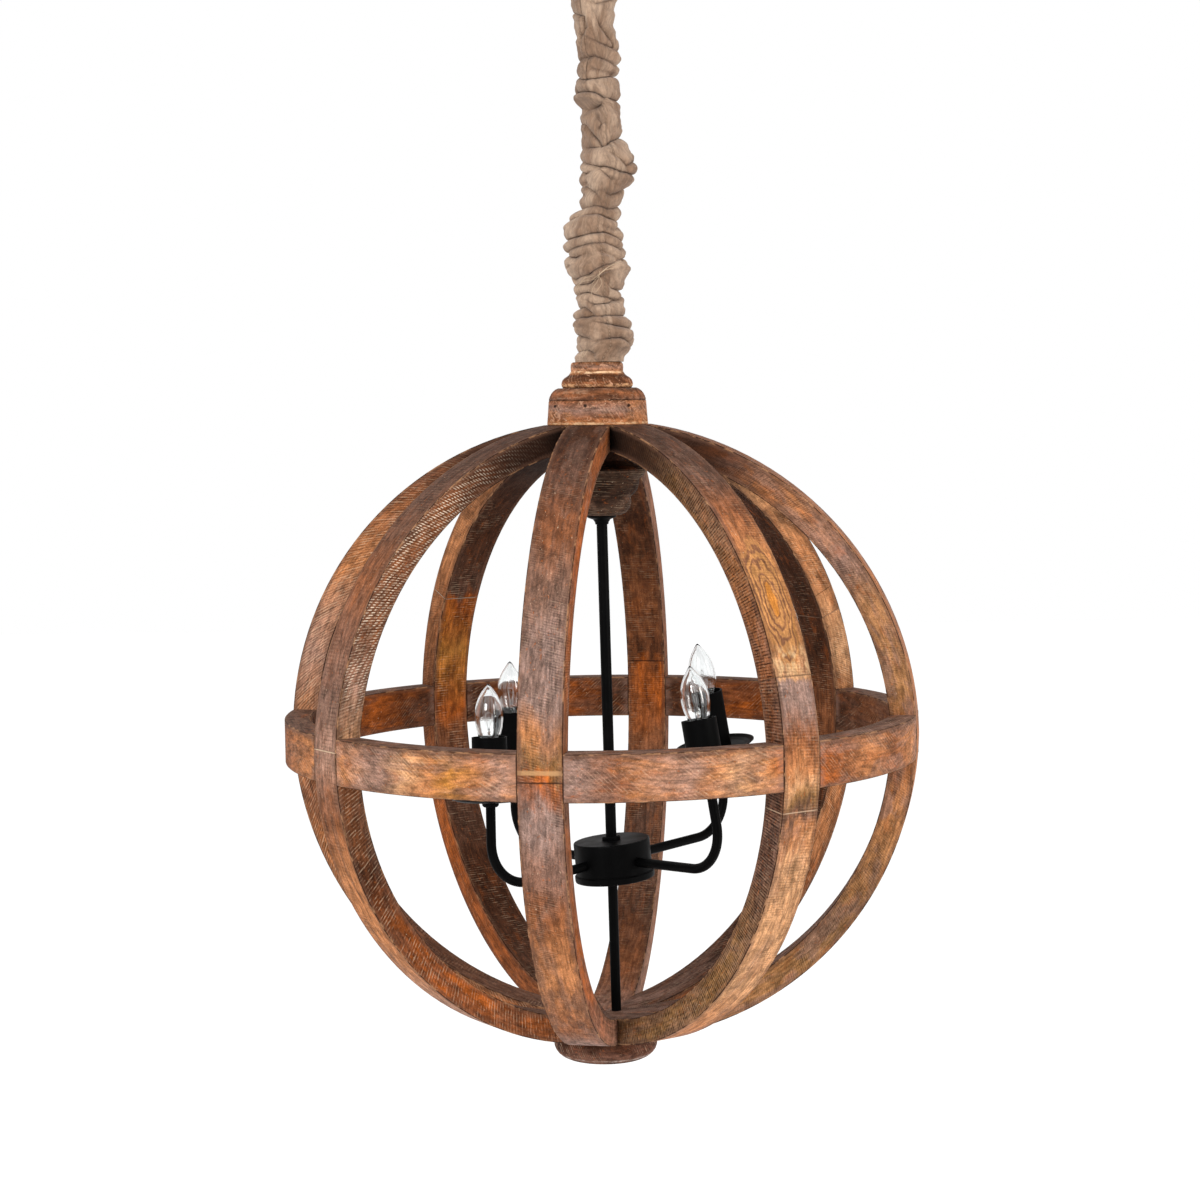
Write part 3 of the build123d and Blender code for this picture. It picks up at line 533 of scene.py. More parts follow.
# colours by height in degrees over the ring: 90 at the hub and -90 at the foot; hatch: angle, pitch, dark and pale for
# the outer, side and inner faces
H_OUT, H_SIDE, H_IN = (0, 0.0027, 0.42, 0.16), (0, 0.0027, 0.45, 0.22), (0, 0.0027, 0.42, 0.18)
# the inner faces get darker colours than the outer ones, partly the wood's stain and partly painted shade inside the
# orb
RIBS = {
    1: dict(outer=[(-90, SMOKE), (-72, GREY), (-58, BROWN), (-38, COPPER), (-24, BROWN), (-10, GREY), (-5, GREY), (-1, RUST),
                   (1, OLIVE), (6, COPPER), (12, GREY), (22, GREY), (30, tone(142, 106, 88)), (42, tone(136, 84, 54)),
                   (56, tone(112, 70, 50)), (68, UMBER), (90, UMBER)],
            side=[(-90, PINK), (-40, RUST), (0, BROWN), (50, RUST), (90, BROWN)], inner=[(-90, SMOKE), (0, UMBER), (90, UMBER)],
            # rib 1's side faces get little painted shade under the hub
            alt=tone(124, 94, 80), hatch=((14, 0.0026, 0.40, 0.16), H_SIDE, H_IN), side_shade=0.12, glow=0.08,
            lines=[(-0.7, 0.0011, DARK, 0.8), (0.9, 0.0032, tone(206, 158, 110), 0.75)], patch=0.50),
    2: dict(outer=[(-90, PINK), (-60, COPPER), (-44, TAN), (-16, TAN), (-12, COPPER), (-9, SMOKE), (-6, OLIVE), (-3, TAN), (0, COPPER),
                   (4, BROWN), (9, GREY), (14.5, GREY), (15.5, TAN), (22, GOLD), (38, COPPER), (46, BROWN), (56, SMOKE), (90, UMBER)],
            side=[(-90, UMBER), (-70, OLIVE), (-40, OLIVE), (-18, SMOKE), (0, UMBER), (20, BROWN), (60, OLIVE), (90, UMBER)],
            inner=[(-90, SMOKE), (0, UMBER), (90, UMBER)], alt=MAUVE,
            hatch=((4, 0.0032, 0.34, 0.14), (2, 0.0036, 0.80, 0.16), H_IN), knot=(28.5, -0.001), patch=0.32, glow=0.14, side_cover=0.24,
            lines=[(15.0, 0.0009, tone(90, 66, 52), 0.6), (-7.6, 0.0008, CREAM, 0.5)]),
    3: dict(outer=[(-90, BROWN), (0, COPPER), (90, BROWN)],
            side=[(-90, BROWN), (-72, tone(192, 134, 86)), (-40, OLIVE), (-22, tone(192, 134, 86)), (-8, COPPER), (0, BROWN),
                  (10, tone(186, 132, 84)), (24, tone(184, 130, 86)), (36, MAUVE), (50, COPPER), (62, BROWN), (76, RUST), (90, BROWN)],
            inner=[(-90, SMOKE), (-20, MAUVE), (0, BROWN), (90, UMBER)],
            alt=MAUVE, hatch=(H_OUT, (24, 0.0024, 0.30, 0.12), H_IN), patch=0.65),
    4: dict(outer=[(-90, BROWN), (0, COPPER), (90, BROWN)], side=[(-90, BROWN), (0, COPPER), (12, TAN), (34, COPPER), (60, TAN), (90, BROWN)],
            inner=[(-90, MAUVE), (-50, SMOKE), (-20, UMBER), (0, BROWN), (12, UMBER), (48, UMBER), (90, UMBER)],
            alt=UMBER, hatch=(H_OUT, (30, 0.0024, 0.35, 0.35), (0, 0.0024, 0.55, 0.24)),
            lines=[(20.0, 0.0008, tone(150, 120, 100), 0.5), (25.0, 0.0008, DARK, 0.6)], patch=0.6),
    5: dict(outer=[(-90, BROWN), (0, COPPER), (90, BROWN)], side=[(-90, PINK), (0, BROWN), (90, PINK)],
            inner=[(-90, MAUVE), (-66, BROWN), (-50, SMOKE), (-20, SMOKE), (-8, BROWN), (0, RUST), (7, RUST), (9, UMBER), (20, BROWN),
                   (36, UMBER), (60, UMBER), (90, DARK)],
            alt=BROWN, hatch=(H_OUT, H_SIDE, (0, 0.0024, 0.60, 0.24)), lines=[(8.0, 0.0010, DARK, 0.8)], patch=0.45),
    6: dict(outer=[(-90, BROWN), (0, COPPER), (90, BROWN)], side=[(-90, BROWN), (-30, RUST), (0, BROWN), (40, COPPER), (62, COPPER), (90, BROWN)],
            inner=[(-90, SMOKE), (-40, UMBER), (-14, SMOKE), (-6, BROWN), (0, RUST), (12, GOLD), (23.4, RUST), (25.0, SMOKE), (40, UMBER),
                   (60, UMBER), (90, DARK)],
            alt=UMBER, hatch=((0, 0.0032, 0.42, 0.16), (20, 0.0032, 0.25, 0.10), (0, 0.0032, 0.50, 0.30)),
            lines=[(24.3, 0.0008, tone(190, 170, 150), 0.75)], patch=0.42),
    7: dict(outer=[(-90, MAUVE), (0, BROWN), (90, BROWN)],
            side=[(-90, BROWN), (-40, COPPER), (-10, BROWN), (0, COPPER), (14, PINK), (34, COPPER), (52, BROWN), (70, BROWN), (90, UMBER)],
            inner=[(-90, SMOKE), (0, BROWN), (90, UMBER)], alt=MAUVE,
            hatch=((0, 0.0042, 0.42, 0.16), (50, 0.0042, 0.46, 0.42), H_IN), patch=0.22, side_cover=0.28, glow=0.14),
    8: dict(outer=[(-90, SMOKE), (-60, PINK), (-36, COPPER), (-22, COPPER), (-10, BROWN), (0, PINK), (10, MAUVE), (30, BROWN), (50, SMOKE),
                   (90, UMBER)],
            side=[(-90, BROWN), (-50, RUST), (-20, UMBER), (-4, BROWN), (4, TAN), (12, PINK), (24, BROWN), (60, BROWN), (74, UMBER), (90, DARK)],
            inner=[(-90, SMOKE), (0, BROWN), (90, UMBER)], alt=SMOKE,
            hatch=((0, 0.0040, 0.30, 0.08), (24, 0.0040, 0.34, 0.36), H_IN), dash=1.0, glow=0.10, side_cover=0.10,
            lines=[(1.6, 0.0009, CREAM, 0.7)], patch=0.5),
}
for k, kw in RIBS.items():
    paint("rib_%d" % k, rib_material(k, seed=11.0 * k, **kw))
    soften("rib_%d" % k, 0.0014)

RING = {1: ((GREY, MAUVE, BROWN, COPPER, PINK, COPPER, TAN, COPPER, RUST), MAUVE), 2: ((RUST, BROWN, COPPER, BROWN, COPPER, MAUVE), MAUVE),
        3: ((BROWN, COPPER, BROWN), SMOKE), 4: ((BROWN, COPPER, BROWN), SMOKE), 5: ((BROWN, COPPER, BROWN), SMOKE),
        6: ((BROWN, COPPER, BROWN), SMOKE), 7: ((MAUVE, BROWN, COPPER), SMOKE),
        8: ((PINK, COPPER, PINK, MAUVE, TAN, COPPER, GOLD, COPPER, PINK, COPPER), MAUVE)}
for k, (outer, alt) in RING.items():
    # the ring's inner faces are darker, partly the wood's stain and partly painted shade inside the orb
    ring_inner = (UMBER, RUST) if k in (4, 5, 6) else (UMBER, BROWN)
    paint("ring_segment_%d" % k, ring_material(k, outer, alt, 5.0 * k + 1.0, inner=ring_inner, patch=0.5))
    soften("ring_segment_%d" % k, 0.0016)

paint("hub_neck", turned_material("wood_hub_neck", [(0.386, UMBER), (0.392, BROWN), (0.400, UMBER), (0.404, COPPER), (0.410, PINK),
      (0.415, COPPER)], UMBER, 71,
      # the neck's two pale bands are painted highlights; the umber band is a darker band
      hatch=(35, 0.0026, 0.35, 0.25), bands=[(0.4035, 0.0019, tone(255, 212, 168), 0.95), (0.3888, 0.0026, tone(240, 182, 132), 0.95),
                                            (0.3950, 0.0030, UMBER, 0.6)], highlight_and_dark_blotches=0.65))
paint("hub_ring_upper", turned_material("wood_hub_upper", [(0.372, SMOKE), (0.380, BROWN), (0.387, SMOKE)], UMBER, 72,
      bands=[(0.3728, 0.0009, DARK, 0.9)], highlight_and_dark_blotches=0.20))
paint("hub_ring_lower", turned_material("wood_hub_lower", [(0.346, COPPER), (0.352, BROWN), (0.362, MAUVE), (0.373, BROWN)], COPPER, 73,
      hatch=(35, 0.0030, 0.30, 0.22), bands=[(0.3716, 0.0007, DARK, 0.6), (0.3472, 0.0018, tone(246, 202, 156), 0.85)],
      dots=[(-0.0470, 0.3665, 0.0021), (-0.0135, 0.3665, 0.0025), (0.0345, 0.3665, 0.0023)], highlight_and_dark_blotches=0.50))
paint("finial", turned_material("wood_finial", [(0.244, tone(88, 64, 50)), (0.264, tone(100, 76, 62)), (0.268, tone(56, 36, 26)),
      (0.292, tone(92, 68, 52)), (0.296, tone(52, 32, 22)), (0.321, tone(66, 40, 28))], DARK, 74,
      bands=[(0.2935, 0.0012, tone(140, 112, 92), 0.5), (0.2665, 0.0011, tone(140, 112, 92), 0.5)]))
paint("foot_disc", turned_material("wood_foot", [(-0.372, tone(98, 68, 54)), (-0.366, tone(124, 86, 70)), (-0.355, tone(110, 72, 56)),
      (-0.33, tone(94, 58, 42))], UMBER, 75, hatch=(20, 0.0022, 0.45, 0.40),
      bands=[(-0.3660, 0.0016, tone(216, 196, 184), 0.55), (-0.3700, 0.0012, DARK, 0.75)]))
for n in ("hub_neck", "hub_ring_upper", "hub_ring_lower", "finial", "foot_disc"):
    soften(n, 0.0006, 2)

black = metal_material("black_satin_paint", (0.0009, 0.0009, 0.0010, 1.0), 0.44, 0.045)
black_cover = metal_material("black_cover_paint", (0.0010, 0.0010, 0.0011, 1.0), 0.55, 0.040)
for n in ("canopy", "canopy_loop", "canopy_ring", "hub_loop", "rod_flange", "upper_rod", "lower_rod", "cluster_body",
          "cluster_cover", "rod_couplings", "arm_collars", "bobeches", "arm_1", "arm_2", "arm_3", "arm_4"):
    paint(n, black)
zinc = metal_material("zinc_plate", (0.50, 0.50, 0.49, 1.0), 0.38, 0.5, metallic=1.0)
for n in ("mounting_strap", "threaded_nipple", "nipple_nuts"):
    paint(n, zinc)
steel = metal_material("dark_bronze_chain", (0.05, 0.044, 0.038, 1.0), 0.45, 0.5, metallic=0.6)
for n in ("first_link", "chain", "last_link"):
    paint(n, steel)
jacket = metal_material("cord_jacket", lin(34, 34, 34), 0.60, 0.3)
for n in ("supply_cord", "canopy_lead", "rod_lead"):
    paint(n, jacket)
paint("sockets", metal_material("socket_phenolic", (0.006, 0.006, 0.006, 1.0), 0.55, 0.25))
brass = metal_material("bulb_cap_brass", (0.66, 0.56, 0.36, 1.0), 0.28, 0.5, metallic=1.0)
glass = glass_material()
for k in range(1, 5):
    paint("candle_cover_%d" % k, black_cover)
    paint("bulb_base_%d" % k, brass)
    paint("bulb_glass_%d" % k, glass)
    for p in NODES["bulb_glass_%d" % k].data.polygons:
        p.use_smooth = True


# ------------------------------------------------------------------ bulbs' insides
def add_mesh(name, verts, faces, mat, smooth=True):
    me = bpy.data.meshes.new(name)
    me.from_pydata([tuple(v) for v in verts], [], faces)
    me.update()
    o = bpy.data.objects.new(name, me)
    scene.collection.objects.link(o)
    me.materials.append(mat)
    for p in me.polygons:
        p.use_smooth = smooth
    return o


def lathe(profile, n=28):
    verts, faces = [], []
    for r, t in profile:
        for i in range(n):
            a = 2 * math.pi * i / n
            verts.append((r * math.cos(a), r * math.sin(a), t))
    for j in range(len(profile) - 1):
        for i in range(n):
            i2 = (i + 1) % n
            faces.append((j * n + i, j * n + i2, (j + 1) * n + i2, (j + 1) * n + i))
    faces.append(tuple(reversed(range(n))))
    faces.append(tuple((len(profile) - 1) * n + i for i in range(n)))
    return verts, faces


def tube(pts, r, n=8):
    pts = [Vector(p) for p in pts]
    verts, faces = [], []
    ref = Vector((0.3, 0.9, 0.2)).normalized()
    for i, p in enumerate(pts):
        d = (pts[min(i + 1, len(pts) - 1)] - pts[max(i - 1, 0)]).normalized()
        a = d.cross(ref).normalized()
        b = d.cross(a).normalized()
        for j in range(n):
            t = 2 * math.pi * j / n
            verts.append(p + a * (r * math.cos(t)) + b * (r * math.sin(t)))
    for i in range(len(pts) - 1):
        for j in range(n):
            j2 = (j + 1) % n
            faces.append((i * n + j, i * n + j2, (i + 1) * n + j2, (i + 1) * n + j))
    faces.append(tuple(reversed(range(n))))
    faces.append(tuple((len(pts) - 1) * n + j for j in range(n)))
    return verts, faces


def join(parts):
    verts, faces = [], []
    for v, f in parts:
        o = len(verts)
        verts += [tuple(p) for p in v]
        faces += [tuple(i + o for i in q) for q in f]
    return verts, faces


SEATS = [((-0.122118, -0.107857, -0.927196), (-0.006863, 0.068163, 0.997651)),
         ((0.115462, -0.131460, -0.906619), (-0.153722, 0.079247, 0.984931)),
         ((0.133780, 0.113074, -0.905032), (-0.164765, -0.068163, 0.983975)),
         ((-0.104645, 0.125395, -0.925682), (-0.017905, -0.079247, 0.996694))]
wire = metal_material("lamp_wire", (0.42, 0.40, 0.38, 1.0), 0.35, 0.5, metallic=1.0)
for k, (seat, axis) in enumerate(SEATS, 1):
    rot = Vector((0, 0, 1)).rotation_difference(Vector(axis)).to_matrix().to_4x4()
    spin = Matrix.Rotation(math.radians(35.0 * k), 4, "Z")
    place = Matrix.Translation(seat) @ rot @ spin
    stem = lathe([(0.0042, 0.0555), (0.0040, 0.0580), (0.0030, 0.0610), (0.0019, 0.0650), (0.0015, 0.0700), (0.0015, 0.0745),
                  (0.0019, 0.0765), (0.0016, 0.0785), (0.0006, 0.0795)])
    s = add_mesh("bulb_stem_%d" % k, *stem, glass)
    s.matrix_world = place
    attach(s, "bulb_%d" % k)
    wires = []
    for side in (-1, 1):
        wires.append(tube([(side * 0.0007, 0, 0.0780), (side * 0.0016, 0, 0.0830), (side * 0.0036, 0, 0.0890),
                           (side * 0.0044, 0, 0.0945)], 0.00022, 6))
    coil = []
    for i in range(73):
        f = i / 72.0
        a = 2 * math.pi * 12 * f
        coil.append((-0.0044 + 0.0088 * f, 0.00042 * math.cos(a), 0.0945 + 0.0022 * math.sin(math.pi * f) + 0.00042 * math.sin(a)))
    wires.append(tube(coil, 0.00011, 5))
    w = add_mesh("bulb_filament_%d" % k, *join(wires), wire)
    w.matrix_world = place
    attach(w, "bulb_%d" % k)

# ------------------------------------------------------------------ linen sleeve
SLEEVE_TOP, SLEEVE_LOW = -0.0462, -0.45098
FLAT_ROUND, FLAT_LONG = 0.175, 0.560
OVERLAP = 0.009
ROW_M, ROW0 = 0.001097, 0.812        # metres a step of height, and the height over the orb's middle of row 0
# row, sideways place of the middle and half width, in steps of about 1.1 mm
OUTLINE = [(-60, 1.0, 22.0), (-30, 4.5, 24.0), (0, 2.4, 21.5), (28, 2.0, 17.5), (45, 5.0, 19.5), (60, 6.6, 20.5), (73, 4.0, 18.0), (88, 4.5, 21.0),
           (97, 1.5, 22.5), (107, 10.0, 14.0), (122, 6.8, 20.5), (137, 7.5, 17.5), (146, 11.5, 21.5), (160, 15.5, 27.0), (172, 14.5, 26.0),
           (180, 11.0, 25.5), (192, 8.0, 20.5), (203, 6.0, 18.5), (210, 5.0, 18.0), (216, -1.5, 24.0), (228, -3.2, 28.2), (243, -1.0, 28.0),
           (252, 1.0, 27.0), (262, 1.5, 31.5), (270, 2.0, 31.0), (279, 4.5, 25.5), (290, 4.0, 22.5), (304, 4.5, 21.5), (318, 5.5, 26.0),
           (332, 7.5, 28.0), (345, 9.5, 28.5), (351, 6.5, 26.0), (356, 2.5, 24.5), (362, 1.5, 24.0)]
# creases as the photograph shows them: [(column from the axis, row), ...], depth and width in millimetres
CREASES = [
    ([(-19, 11), (-9, 17), (-7, 27), (-11, 40), (-12, 54)], 3.2, 2.4), ([(-3, 6), (6, 22), (16, 38), (24, 50)], 3.4, 3.2),
    ([(-6, 38), (6, 44), (20, 49)], 2.6, 3.0), ([(-14, 60), (0, 57), (12, 60), (24, 66)], 2.2, 3.2),
    ([(-10, 80), (2, 79), (22, 76)], 3.0, 2.6), ([(-2, 70), (10, 72), (24, 74)], 1.8, 2.4),
    ([(-30, 97), (-18, 91), (-2, 92), (16, 98), (28, 100)], 4.2, 2.8), ([(-22, 108), (-14, 106), (-2, 109), (6, 105), (12, 100)], 6.0, 3.2),
    ([(-20, 122), (-9, 124), (0, 135), (8, 143), (14, 148)], 4.6, 3.0), ([(2, 112), (8, 124), (4, 132)], 2.4, 2.6),
    ([(-26, 148), (-12, 146), (6, 147), (18, 141), (30, 136)], 5.4, 3.2), ([(-22, 160), (-8, 163), (10, 166), (28, 172), (46, 174)], 4.4, 3.2),
    ([(8, 150), (20, 156), (34, 166)], 3.0, 3.4), ([(-20, 169), (-9, 173), (0, 171)], 3.4, 2.6), ([(-3, 165), (10, 174), (20, 183)], 3.6, 3.0),
    ([(-22, 184), (-10, 181), (-4, 186)], 3.0, 2.8), ([(-10, 186), (0, 192), (8, 201)], 3.6, 2.8), ([(4, 190), (14, 195), (24, 192)], 2.8, 2.8),
    ([(-26, 207), (-12, 207), (0, 204), (14, 208), (24, 205)], 6.4, 3.4), ([(-28, 220), (-12, 214), (4, 214), (22, 221)], 4.0, 3.0),
    ([(-36, 239), (-18, 236), (-2, 233), (10, 232), (26, 240)], 3.6, 3.0), ([(-34, 250), (-20, 246), (-4, 242), (10, 242), (26, 249)], 5.4, 2.8),
    ([(-22, 257), (-8, 254)], 2.8, 2.6), ([(-6, 224), (8, 226), (20, 230)], 2.0, 3.0), ([(6, 252), (18, 256), (30, 258)], 3.0, 2.8),
    ([(-34, 272), (-22, 277), (-8, 273), (8, 265), (26, 260)], 5.6, 2.8), ([(-24, 284), (-8, 283), (2, 277), (14, 272)], 3.2, 2.4),
    ([(-24, 292), (-8, 291), (6, 296), (22, 298)], 4.2, 2.8), ([(8, 280), (16, 288), (24, 290)], 2.6, 2.6),
    ([(-26, 308), (-12, 306), (-4, 312), (2, 316)], 4.8, 2.6), ([(-10, 300), (-2, 304), (10, 303), (24, 300)], 3.4, 2.6),
    ([(-24, 318), (-8, 316), (10, 315), (30, 315)], 3.8, 2.8), ([(-10, 320), (6, 323), (22, 326), (34, 328)], 3.2, 2.8),
    ([(0, 341), (14, 338), (26, 337), (36, 343)], 4.2, 2.8), ([(-20, 334), (-10, 338), (-2, 342)], 2.6, 2.8),
    ([(-22, 352), (-10, 349), (-4, 353), (-2, 360)], 4.6, 2.4),
]


def smooth_table(col):
    rows = np.arange(-60.0, 362.5, 0.5)
    raw = np.interp(rows, [o[0] for o in OUTLINE], [o[col] for o in OUTLINE])
    kx = np.arange(-12, 13)
    ker = np.exp(-0.5 * (kx / 4.0) ** 2)
    pad = np.concatenate([np.full(12, raw[0]), raw, np.full(12, raw[-1])])
    return rows, np.convolve(pad, ker / ker.sum(), "valid") * ROW_M


OFF_TABLE, HALF_TABLE = smooth_table(1), smooth_table(2)


def outline(row):
    return np.interp(row, *OFF_TABLE), np.interp(row, *HALF_TABLE)


def smooth_noise(rng, p, q, cell_p, cell_q):
    """Value noise over the cloth, closed round the tube; p along it in metres, q round it in radians."""
    nq = max(3, int(round(2 * math.pi / cell_q)))
    rows = int(0.6 / cell_p) + 4
    grid = rng.uniform(-1, 1, (rows, nq))
    a = np.clip(p / cell_p, 0, rows - 2.001)
    b = (q / (2 * math.pi) * nq) % nq
    i, j = np.floor(a).astype(int), np.floor(b).astype(int)
    fa, fb = a - i, b - j
    fa, fb = fa * fa * (3 - 2 * fa), fb * fb * (3 - 2 * fb)
    j2 = (j + 1) % nq
    j = j % nq
    return (grid[i, j] * (1 - fb) + grid[i, j2] * fb) * (1 - fa) + (grid[i + 1, j] * (1 - fb) + grid[i + 1, j2] * fb) * fa


def sleeve_points(ns, nf):
    """Points of the open, gathered tube, rows from the bottom up, with the place round the cloth."""
    rng = np.random.default_rng(7)
    rnd = random.Random(5)
    z = np.linspace(SLEEVE_LOW, SLEEVE_TOP, ns)[:, None] + np.zeros((1, nf))
    g = np.linspace(0, 1, nf)[None, :] + np.zeros((ns, 1))
    rows = (ROW0 - (z - OC)) / ROW_M
    seam = np.radians(np.interp(rows[:, :1], [-60, 84, 116, 361], [-40, -34, 24, 20]))
    full = 2 * math.pi * (1 + OVERLAP / (FLAT_ROUND - OVERLAP))
    phi = seam - full * (1 - g)
    off, half = outline(rows)
    p = z - SLEEVE_LOW
    # pillowy rolls and small crumples over the whole cloth
    n1 = smooth_noise(rng, p + 0.004 * np.sin(phi + 1.0), phi, 0.0135, 1.30)
    n2 = smooth_noise(rng, p + 0.010 * np.sin(phi), phi, 0.0062, 0.75)
    n3 = smooth_noise(rng, p + 0.005 * np.sin(2 * phi), phi, 0.0030, 0.34)
    r = half * 0.965 + 0.0012 * n1 + 0.0011 * n2 + 0.0005 * n3
    dz = np.zeros_like(r)
    mean_r = 0.0245
    paths = []
    for pts, depth, wd in CREASES:
        q = []
        for cx, row in pts:
            o, h = outline(row)
            s = max(-1.0, min(1.0, (cx * ROW_M - o) / h))
            q.append((math.asin(s), ROW0 - row * ROW_M + OC))
        paths.append((q, depth / 1000, wd / 1000))

    def run(a, zz, turns, way):
        e = [(a, zz)]
        for _ in range(turns):
            a += way * rnd.uniform(0.45, 0.75)
            zz += rnd.uniform(-0.006, 0.006)
            e.append((a, zz))
        return e if way > 0 else e[::-1]

    # creases that come near a side go on round the back without a break, and the back has its own
    extra = []
    for i, (q, depth, wd) in enumerate(paths):
        if q[-1][0] > 0.75:
            q = q + run(*q[-1], rnd.randint(2, 4), 1)[1:]
        if q[0][0] < -0.75:
            q = run(*q[0], rnd.randint(2, 3), -1)[:-1] + q
        paths[i] = (q, depth, wd)
    zz = SLEEVE_LOW + 0.008
    while zz < SLEEVE_TOP:
        extra.append((run(rnd.uniform(1.6, 3.4), zz, rnd.randint(2, 3), 1), rnd.uniform(0.0025, 0.0055), rnd.uniform(0.0024, 0.0034)))
        zz += rnd.uniform(0.006, 0.012)
    # the top end, over the photograph's edge, all the way round
    zz = SLEEVE_TOP - 0.002
    while zz > OC + ROW0 - 0.004:
        extra.append((run(rnd.uniform(-2.6, 0.2), zz, 3, 1), rnd.uniform(0.003, 0.005), rnd.uniform(0.0026, 0.0034)))
        zz -= rnd.uniform(0.005, 0.008)
    near = np.full(r.shape, 0.012)
    for q, depth, wd in paths + extra:
        best = np.full(r.shape, 9.0)
        side = np.zeros(r.shape)
        taper = np.zeros(r.shape)
        n = len(q) - 1
        for i in range(n):
            (a0, z0), (a1, z1) = q[i], q[i + 1]
            da = (phi - 0.5 * (a0 + a1) + math.pi) % (2 * math.pi) - math.pi
            px, py = da * mean_r, z - 0.5 * (z0 + z1)
            sx, sy = (a1 - a0) * mean_r, z1 - z0
            ll = max(1e-6, math.hypot(sx, sy))
            ux, uy = sx / ll, sy / ll
            t = np.clip(px * ux + py * uy, -ll / 2, ll / 2)
            ex, ey = px - t * ux, py - t * uy
            d = np.hypot(ex, ey)
            hit = d < best
            best = np.where(hit, d, best)
            side = np.where(hit, np.sign(ey * ux - ex * uy) * (1.0 if sx >= 0 else -1.0), side)
            taper = np.where(hit, (i + 0.5 + t / ll) / n, taper)
        fade = np.clip(np.sin(math.pi * np.clip(taper, 0.04, 0.96)), 0, 1) ** 0.55
        r = r - depth * 1.35 * np.exp(-((best / wd) ** 1.35)) * fade
        r = r + depth * 0.45 * np.exp(-((best - 2.0 * wd) / (1.2 * wd)) ** 2) * fade
        near = np.minimum(near, best + 0.006 * (1 - fade))
        # the roll above hangs over the crease
        dz = dz - np.where(side > 0, 1.0, -0.35) * depth * 0.75 * np.exp(-((best - 1.0 * wd) / (0.8 * wd)) ** 2) * fade
    # the cloth between the creases swells out like a pillow
    puff = np.clip(near / 0.0085, 0, 1)
    r = r + 0.0042 * (np.sqrt(1 - (1 - puff) ** 2) - 0.62)
    r = np.maximum(r, 0.010)
    edge = np.clip((z - SLEEVE_LOW) / 0.004, 0, 1) * np.clip((SLEEVE_TOP - z) / 0.003, 0, 1)
    zf = np.clip(z + dz * edge, SLEEVE_LOW, SLEEVE_TOP)
    # the frayed lower end is uneven
    low = np.clip(1 - (z - SLEEVE_LOW) / 0.006, 0, 1)
    zf = zf + low * (0.0002 + 0.0002 * np.sin(3 * phi)) * (np.clip((z - SLEEVE_LOW) / 0.001, 0, 1) + 0.5)
    X, Y = off + r * np.sin(phi), -r * np.cos(phi)
    # clear of the chain and, towards the back right, of the cord beside it
    rho, az = np.hypot(X, Y), np.arctan2(Y, X)
    da = np.abs((az - math.radians(45) + math.pi) % (2 * math.pi) - math.pi)
    w = np.clip((math.radians(62) - da) / math.radians(36), 0, 1)
    least = 0.0128 + 0.0062 * w * w * (3 - 2 * w)
    # wide enough at the top for the canopy's loop, also with the chain swung out
    w = np.clip((z + 0.076) / 0.014, 0, 1)
    least = np.maximum(least, 0.0128 + 0.0084 * w * w * (3 - 2 * w))
    k = 0.0012
    rho2 = least + k * np.log1p(np.exp(np.clip((rho - least) / k, -30, 30)))
    rho2 = np.where(rho - least > 0.03, rho, rho2)
    # the free edge lies over the start of the cloth
    rho2 = rho2 + 0.0012 * np.clip((g - 0.90) / 0.05, 0, 1)
    X, Y = X * rho2 / rho, Y * rho2 / rho
    return X, Y, zf, g


linen = linen_material()


def make_sleeve():
    ns, nf = ((560, 168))
    X, Y, Z, G = sleeve_points(ns, nf)
    pts = np.stack([X, Y, Z], -1)
    # cloth length along each thread, so that the weave follows the folds
    gaps = np.linalg.norm(np.diff(pts, axis=0), axis=-1)
    along = np.concatenate([np.zeros((1, nf)), np.cumsum(gaps, 0)], 0)
    along = along * (FLAT_LONG / along[-1:].mean())
    verts = pts.reshape(-1, 3)
    faces = [(i * nf + j, i * nf + j + 1, (i + 1) * nf + j + 1, (i + 1) * nf + j) for i in range(ns - 1) for j in range(nf - 1)]
    o = add_mesh("linen_gathered_sleeve", verts, faces, linen)
    lay = o.data.uv_layers.new(name="cloth")
    uu, vv = along.reshape(-1), (G * FLAT_ROUND).reshape(-1)
    idx = np.empty(len(o.data.loops), dtype=np.int32)
    o.data.loops.foreach_get("vertex_index", idx)
    lay.data.foreach_set("uv", np.stack([uu[idx], vv[idx]], -1).astype(np.float32).reshape(-1))
    return o, pts


sleeve, sleeve_pts = make_sleeve()
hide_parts("linen_sleeve")
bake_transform(sleeve)


def surface_at(col, row, lift=0.0008):
    """A point just in front of the sleeve, at a column from the axis and a row."""
    x, z = col * ROW_M, ROW0 - row * ROW_M + OC
    P = sleeve_pts.reshape(-1, 3)
    F = P[P[:, 1] < 0]
    d = (F[:, 0] - x) ** 2 + (F[:, 2] - z) ** 2
    near = F[np.argsort(d)[:6]]
    return (x, float(near[:, 1].min()) - lift, z)


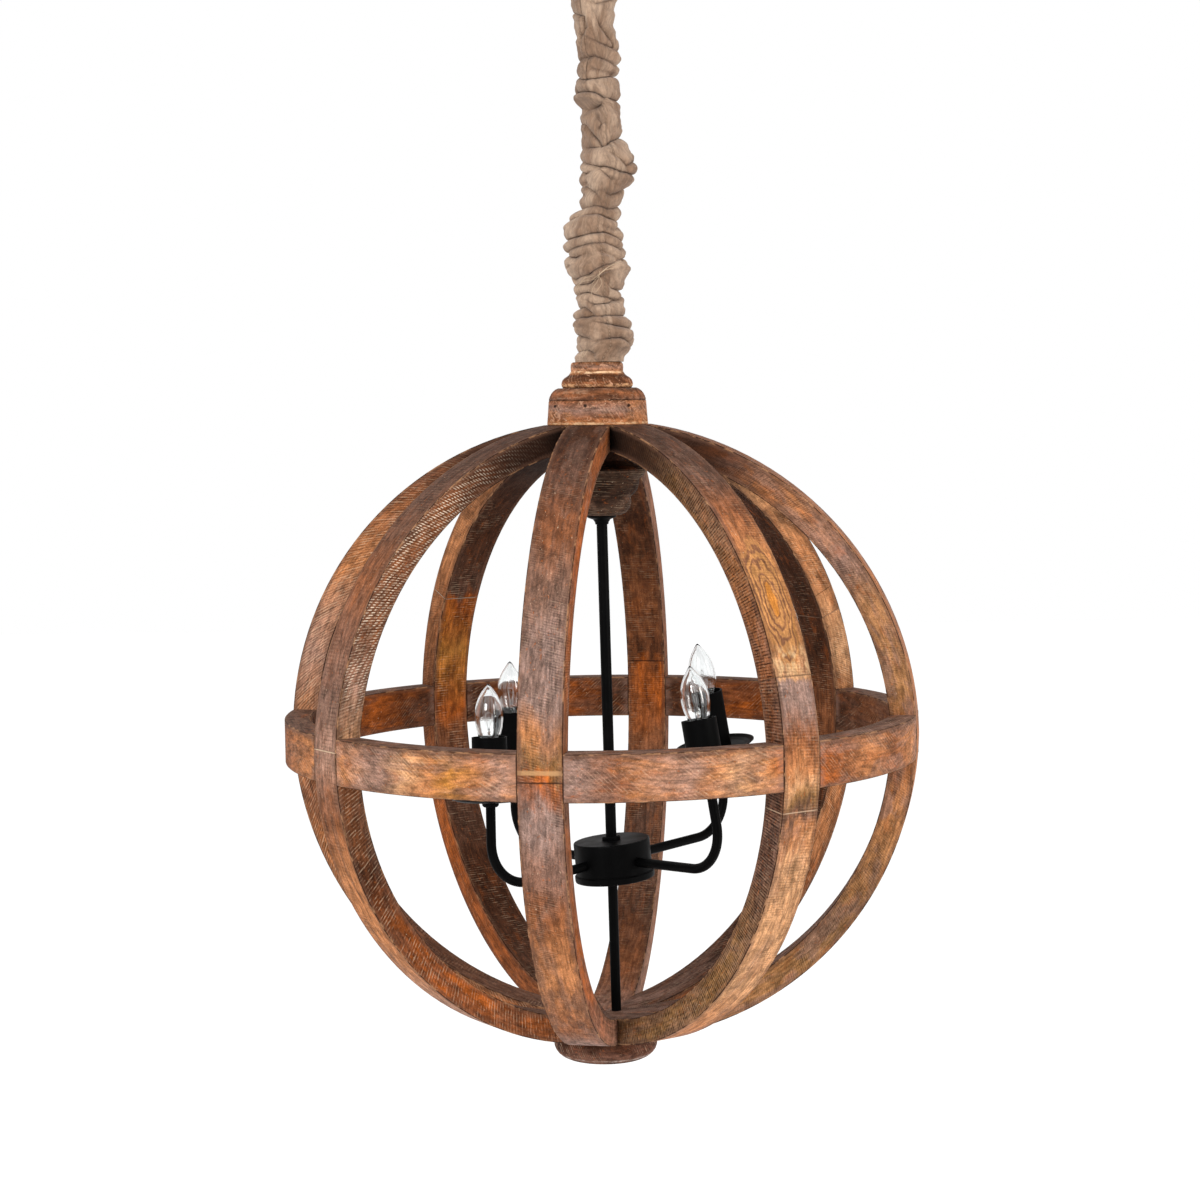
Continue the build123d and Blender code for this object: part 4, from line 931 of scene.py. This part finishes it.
thread_mat = metal_material("linen_thread", lin(176, 154, 130), 0.9, 0.1)
threads = []
for path in ([(28, 262), (16, 266), (6, 273), (-2, 282), (-8, 291)], [(26, 261), (12, 268), (2, 276), (-10, 284), (-14, 290)],
             [(30, 260), (20, 268), (9, 271), (0, 279), (-12, 281), (-20, 286)], [(4, 272), (2, 281), (-3, 288), (-5, 296)],
             [(-2, 276), (-12, 279), (-18, 288), (-16, 294)], [(2, 275), (6, 283), (0, 292)], [(-12, 349), (-15, 354), (-14, 358)],
             [(-9, 350), (-12, 355), (-15, 358)]):
    pts = [Vector(surface_at(c, r)) for c, r in path]
    fine = []
    for i in range(len(pts) - 1):
        p0, p1, p2, p3 = pts[max(i - 1, 0)], pts[i], pts[i + 1], pts[min(i + 2, len(pts) - 1)]
        for j in range(6):
            t = j / 6.0
            fine.append(0.5 * ((2 * p1) + (p2 - p0) * t + (2 * p0 - 5 * p1 + 4 * p2 - p3) * t * t + (3 * p1 - p0 - 3 * p2 + p3) * t * t * t))
    fine.append(pts[-1])
    threads.append(tube(fine, 0.00026, 6))
loose = add_mesh("linen_loose_threads", *join(threads), thread_mat)
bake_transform(loose)

# ------------------------------------------------------------------ stage
FLOOR_Z = -2.05
me = bpy.data.meshes.new("floor")
S = 14.0
me.from_pydata([(-S, -S, FLOOR_Z), (S, -S, FLOOR_Z), (S, S, FLOOR_Z), (-S, S, FLOOR_Z)], [], [(0, 1, 2, 3)])
floor = bpy.data.objects.new("floor", me)
scene.collection.objects.link(floor)
fm = Mat("pale_floor")
fm.put(fm.b.inputs["Base Color"], fm.mix(fm.noise(fm.P, 0.6, 2), (0.97, 0.97, 0.97, 1.0), (0.99, 0.99, 0.99, 1.0)))
fm.b.inputs["Roughness"].default_value = 0.95
fm.b.inputs["Specular IOR Level"].default_value = 0.1
me.materials.append(fm.m)

world = bpy.data.worlds.new("studio")
scene.world = world
world.use_nodes = True
world.node_tree.nodes["Background"].inputs[0].default_value = (1.0, 1.0, 1.0, 1.0)
world.node_tree.nodes["Background"].inputs[1].default_value = 1.0


def area(name, loc, target, size, power, colour=(1, 1, 1)):
    d = bpy.data.lights.new(name, "AREA")
    d.shape = "RECTANGLE"
    d.size, d.size_y = size
    d.energy = power
    d.color = colour
    o = bpy.data.objects.new(name, d)
    scene.collection.objects.link(o)
    o.matrix_world = Matrix.Translation(loc) @ (Vector(target) - Vector(loc)).to_track_quat("-Z", "Y").to_matrix().to_4x4()


area("key", (-1.3, -2.7, 0.7), (0, 0, OC), (1.1, 1.1), 60.0)
area("right", (2.5, -1.6, 0.0), (0, 0, OC), (0.9, 1.8), 40.0, (1.0, 0.96, 0.91))
sun_data = bpy.data.lights.new("fill_above", "SUN")
sun_data.energy, sun_data.angle = 0.22, math.radians(120)
sun = bpy.data.objects.new("fill_above", sun_data)
scene.collection.objects.link(sun)
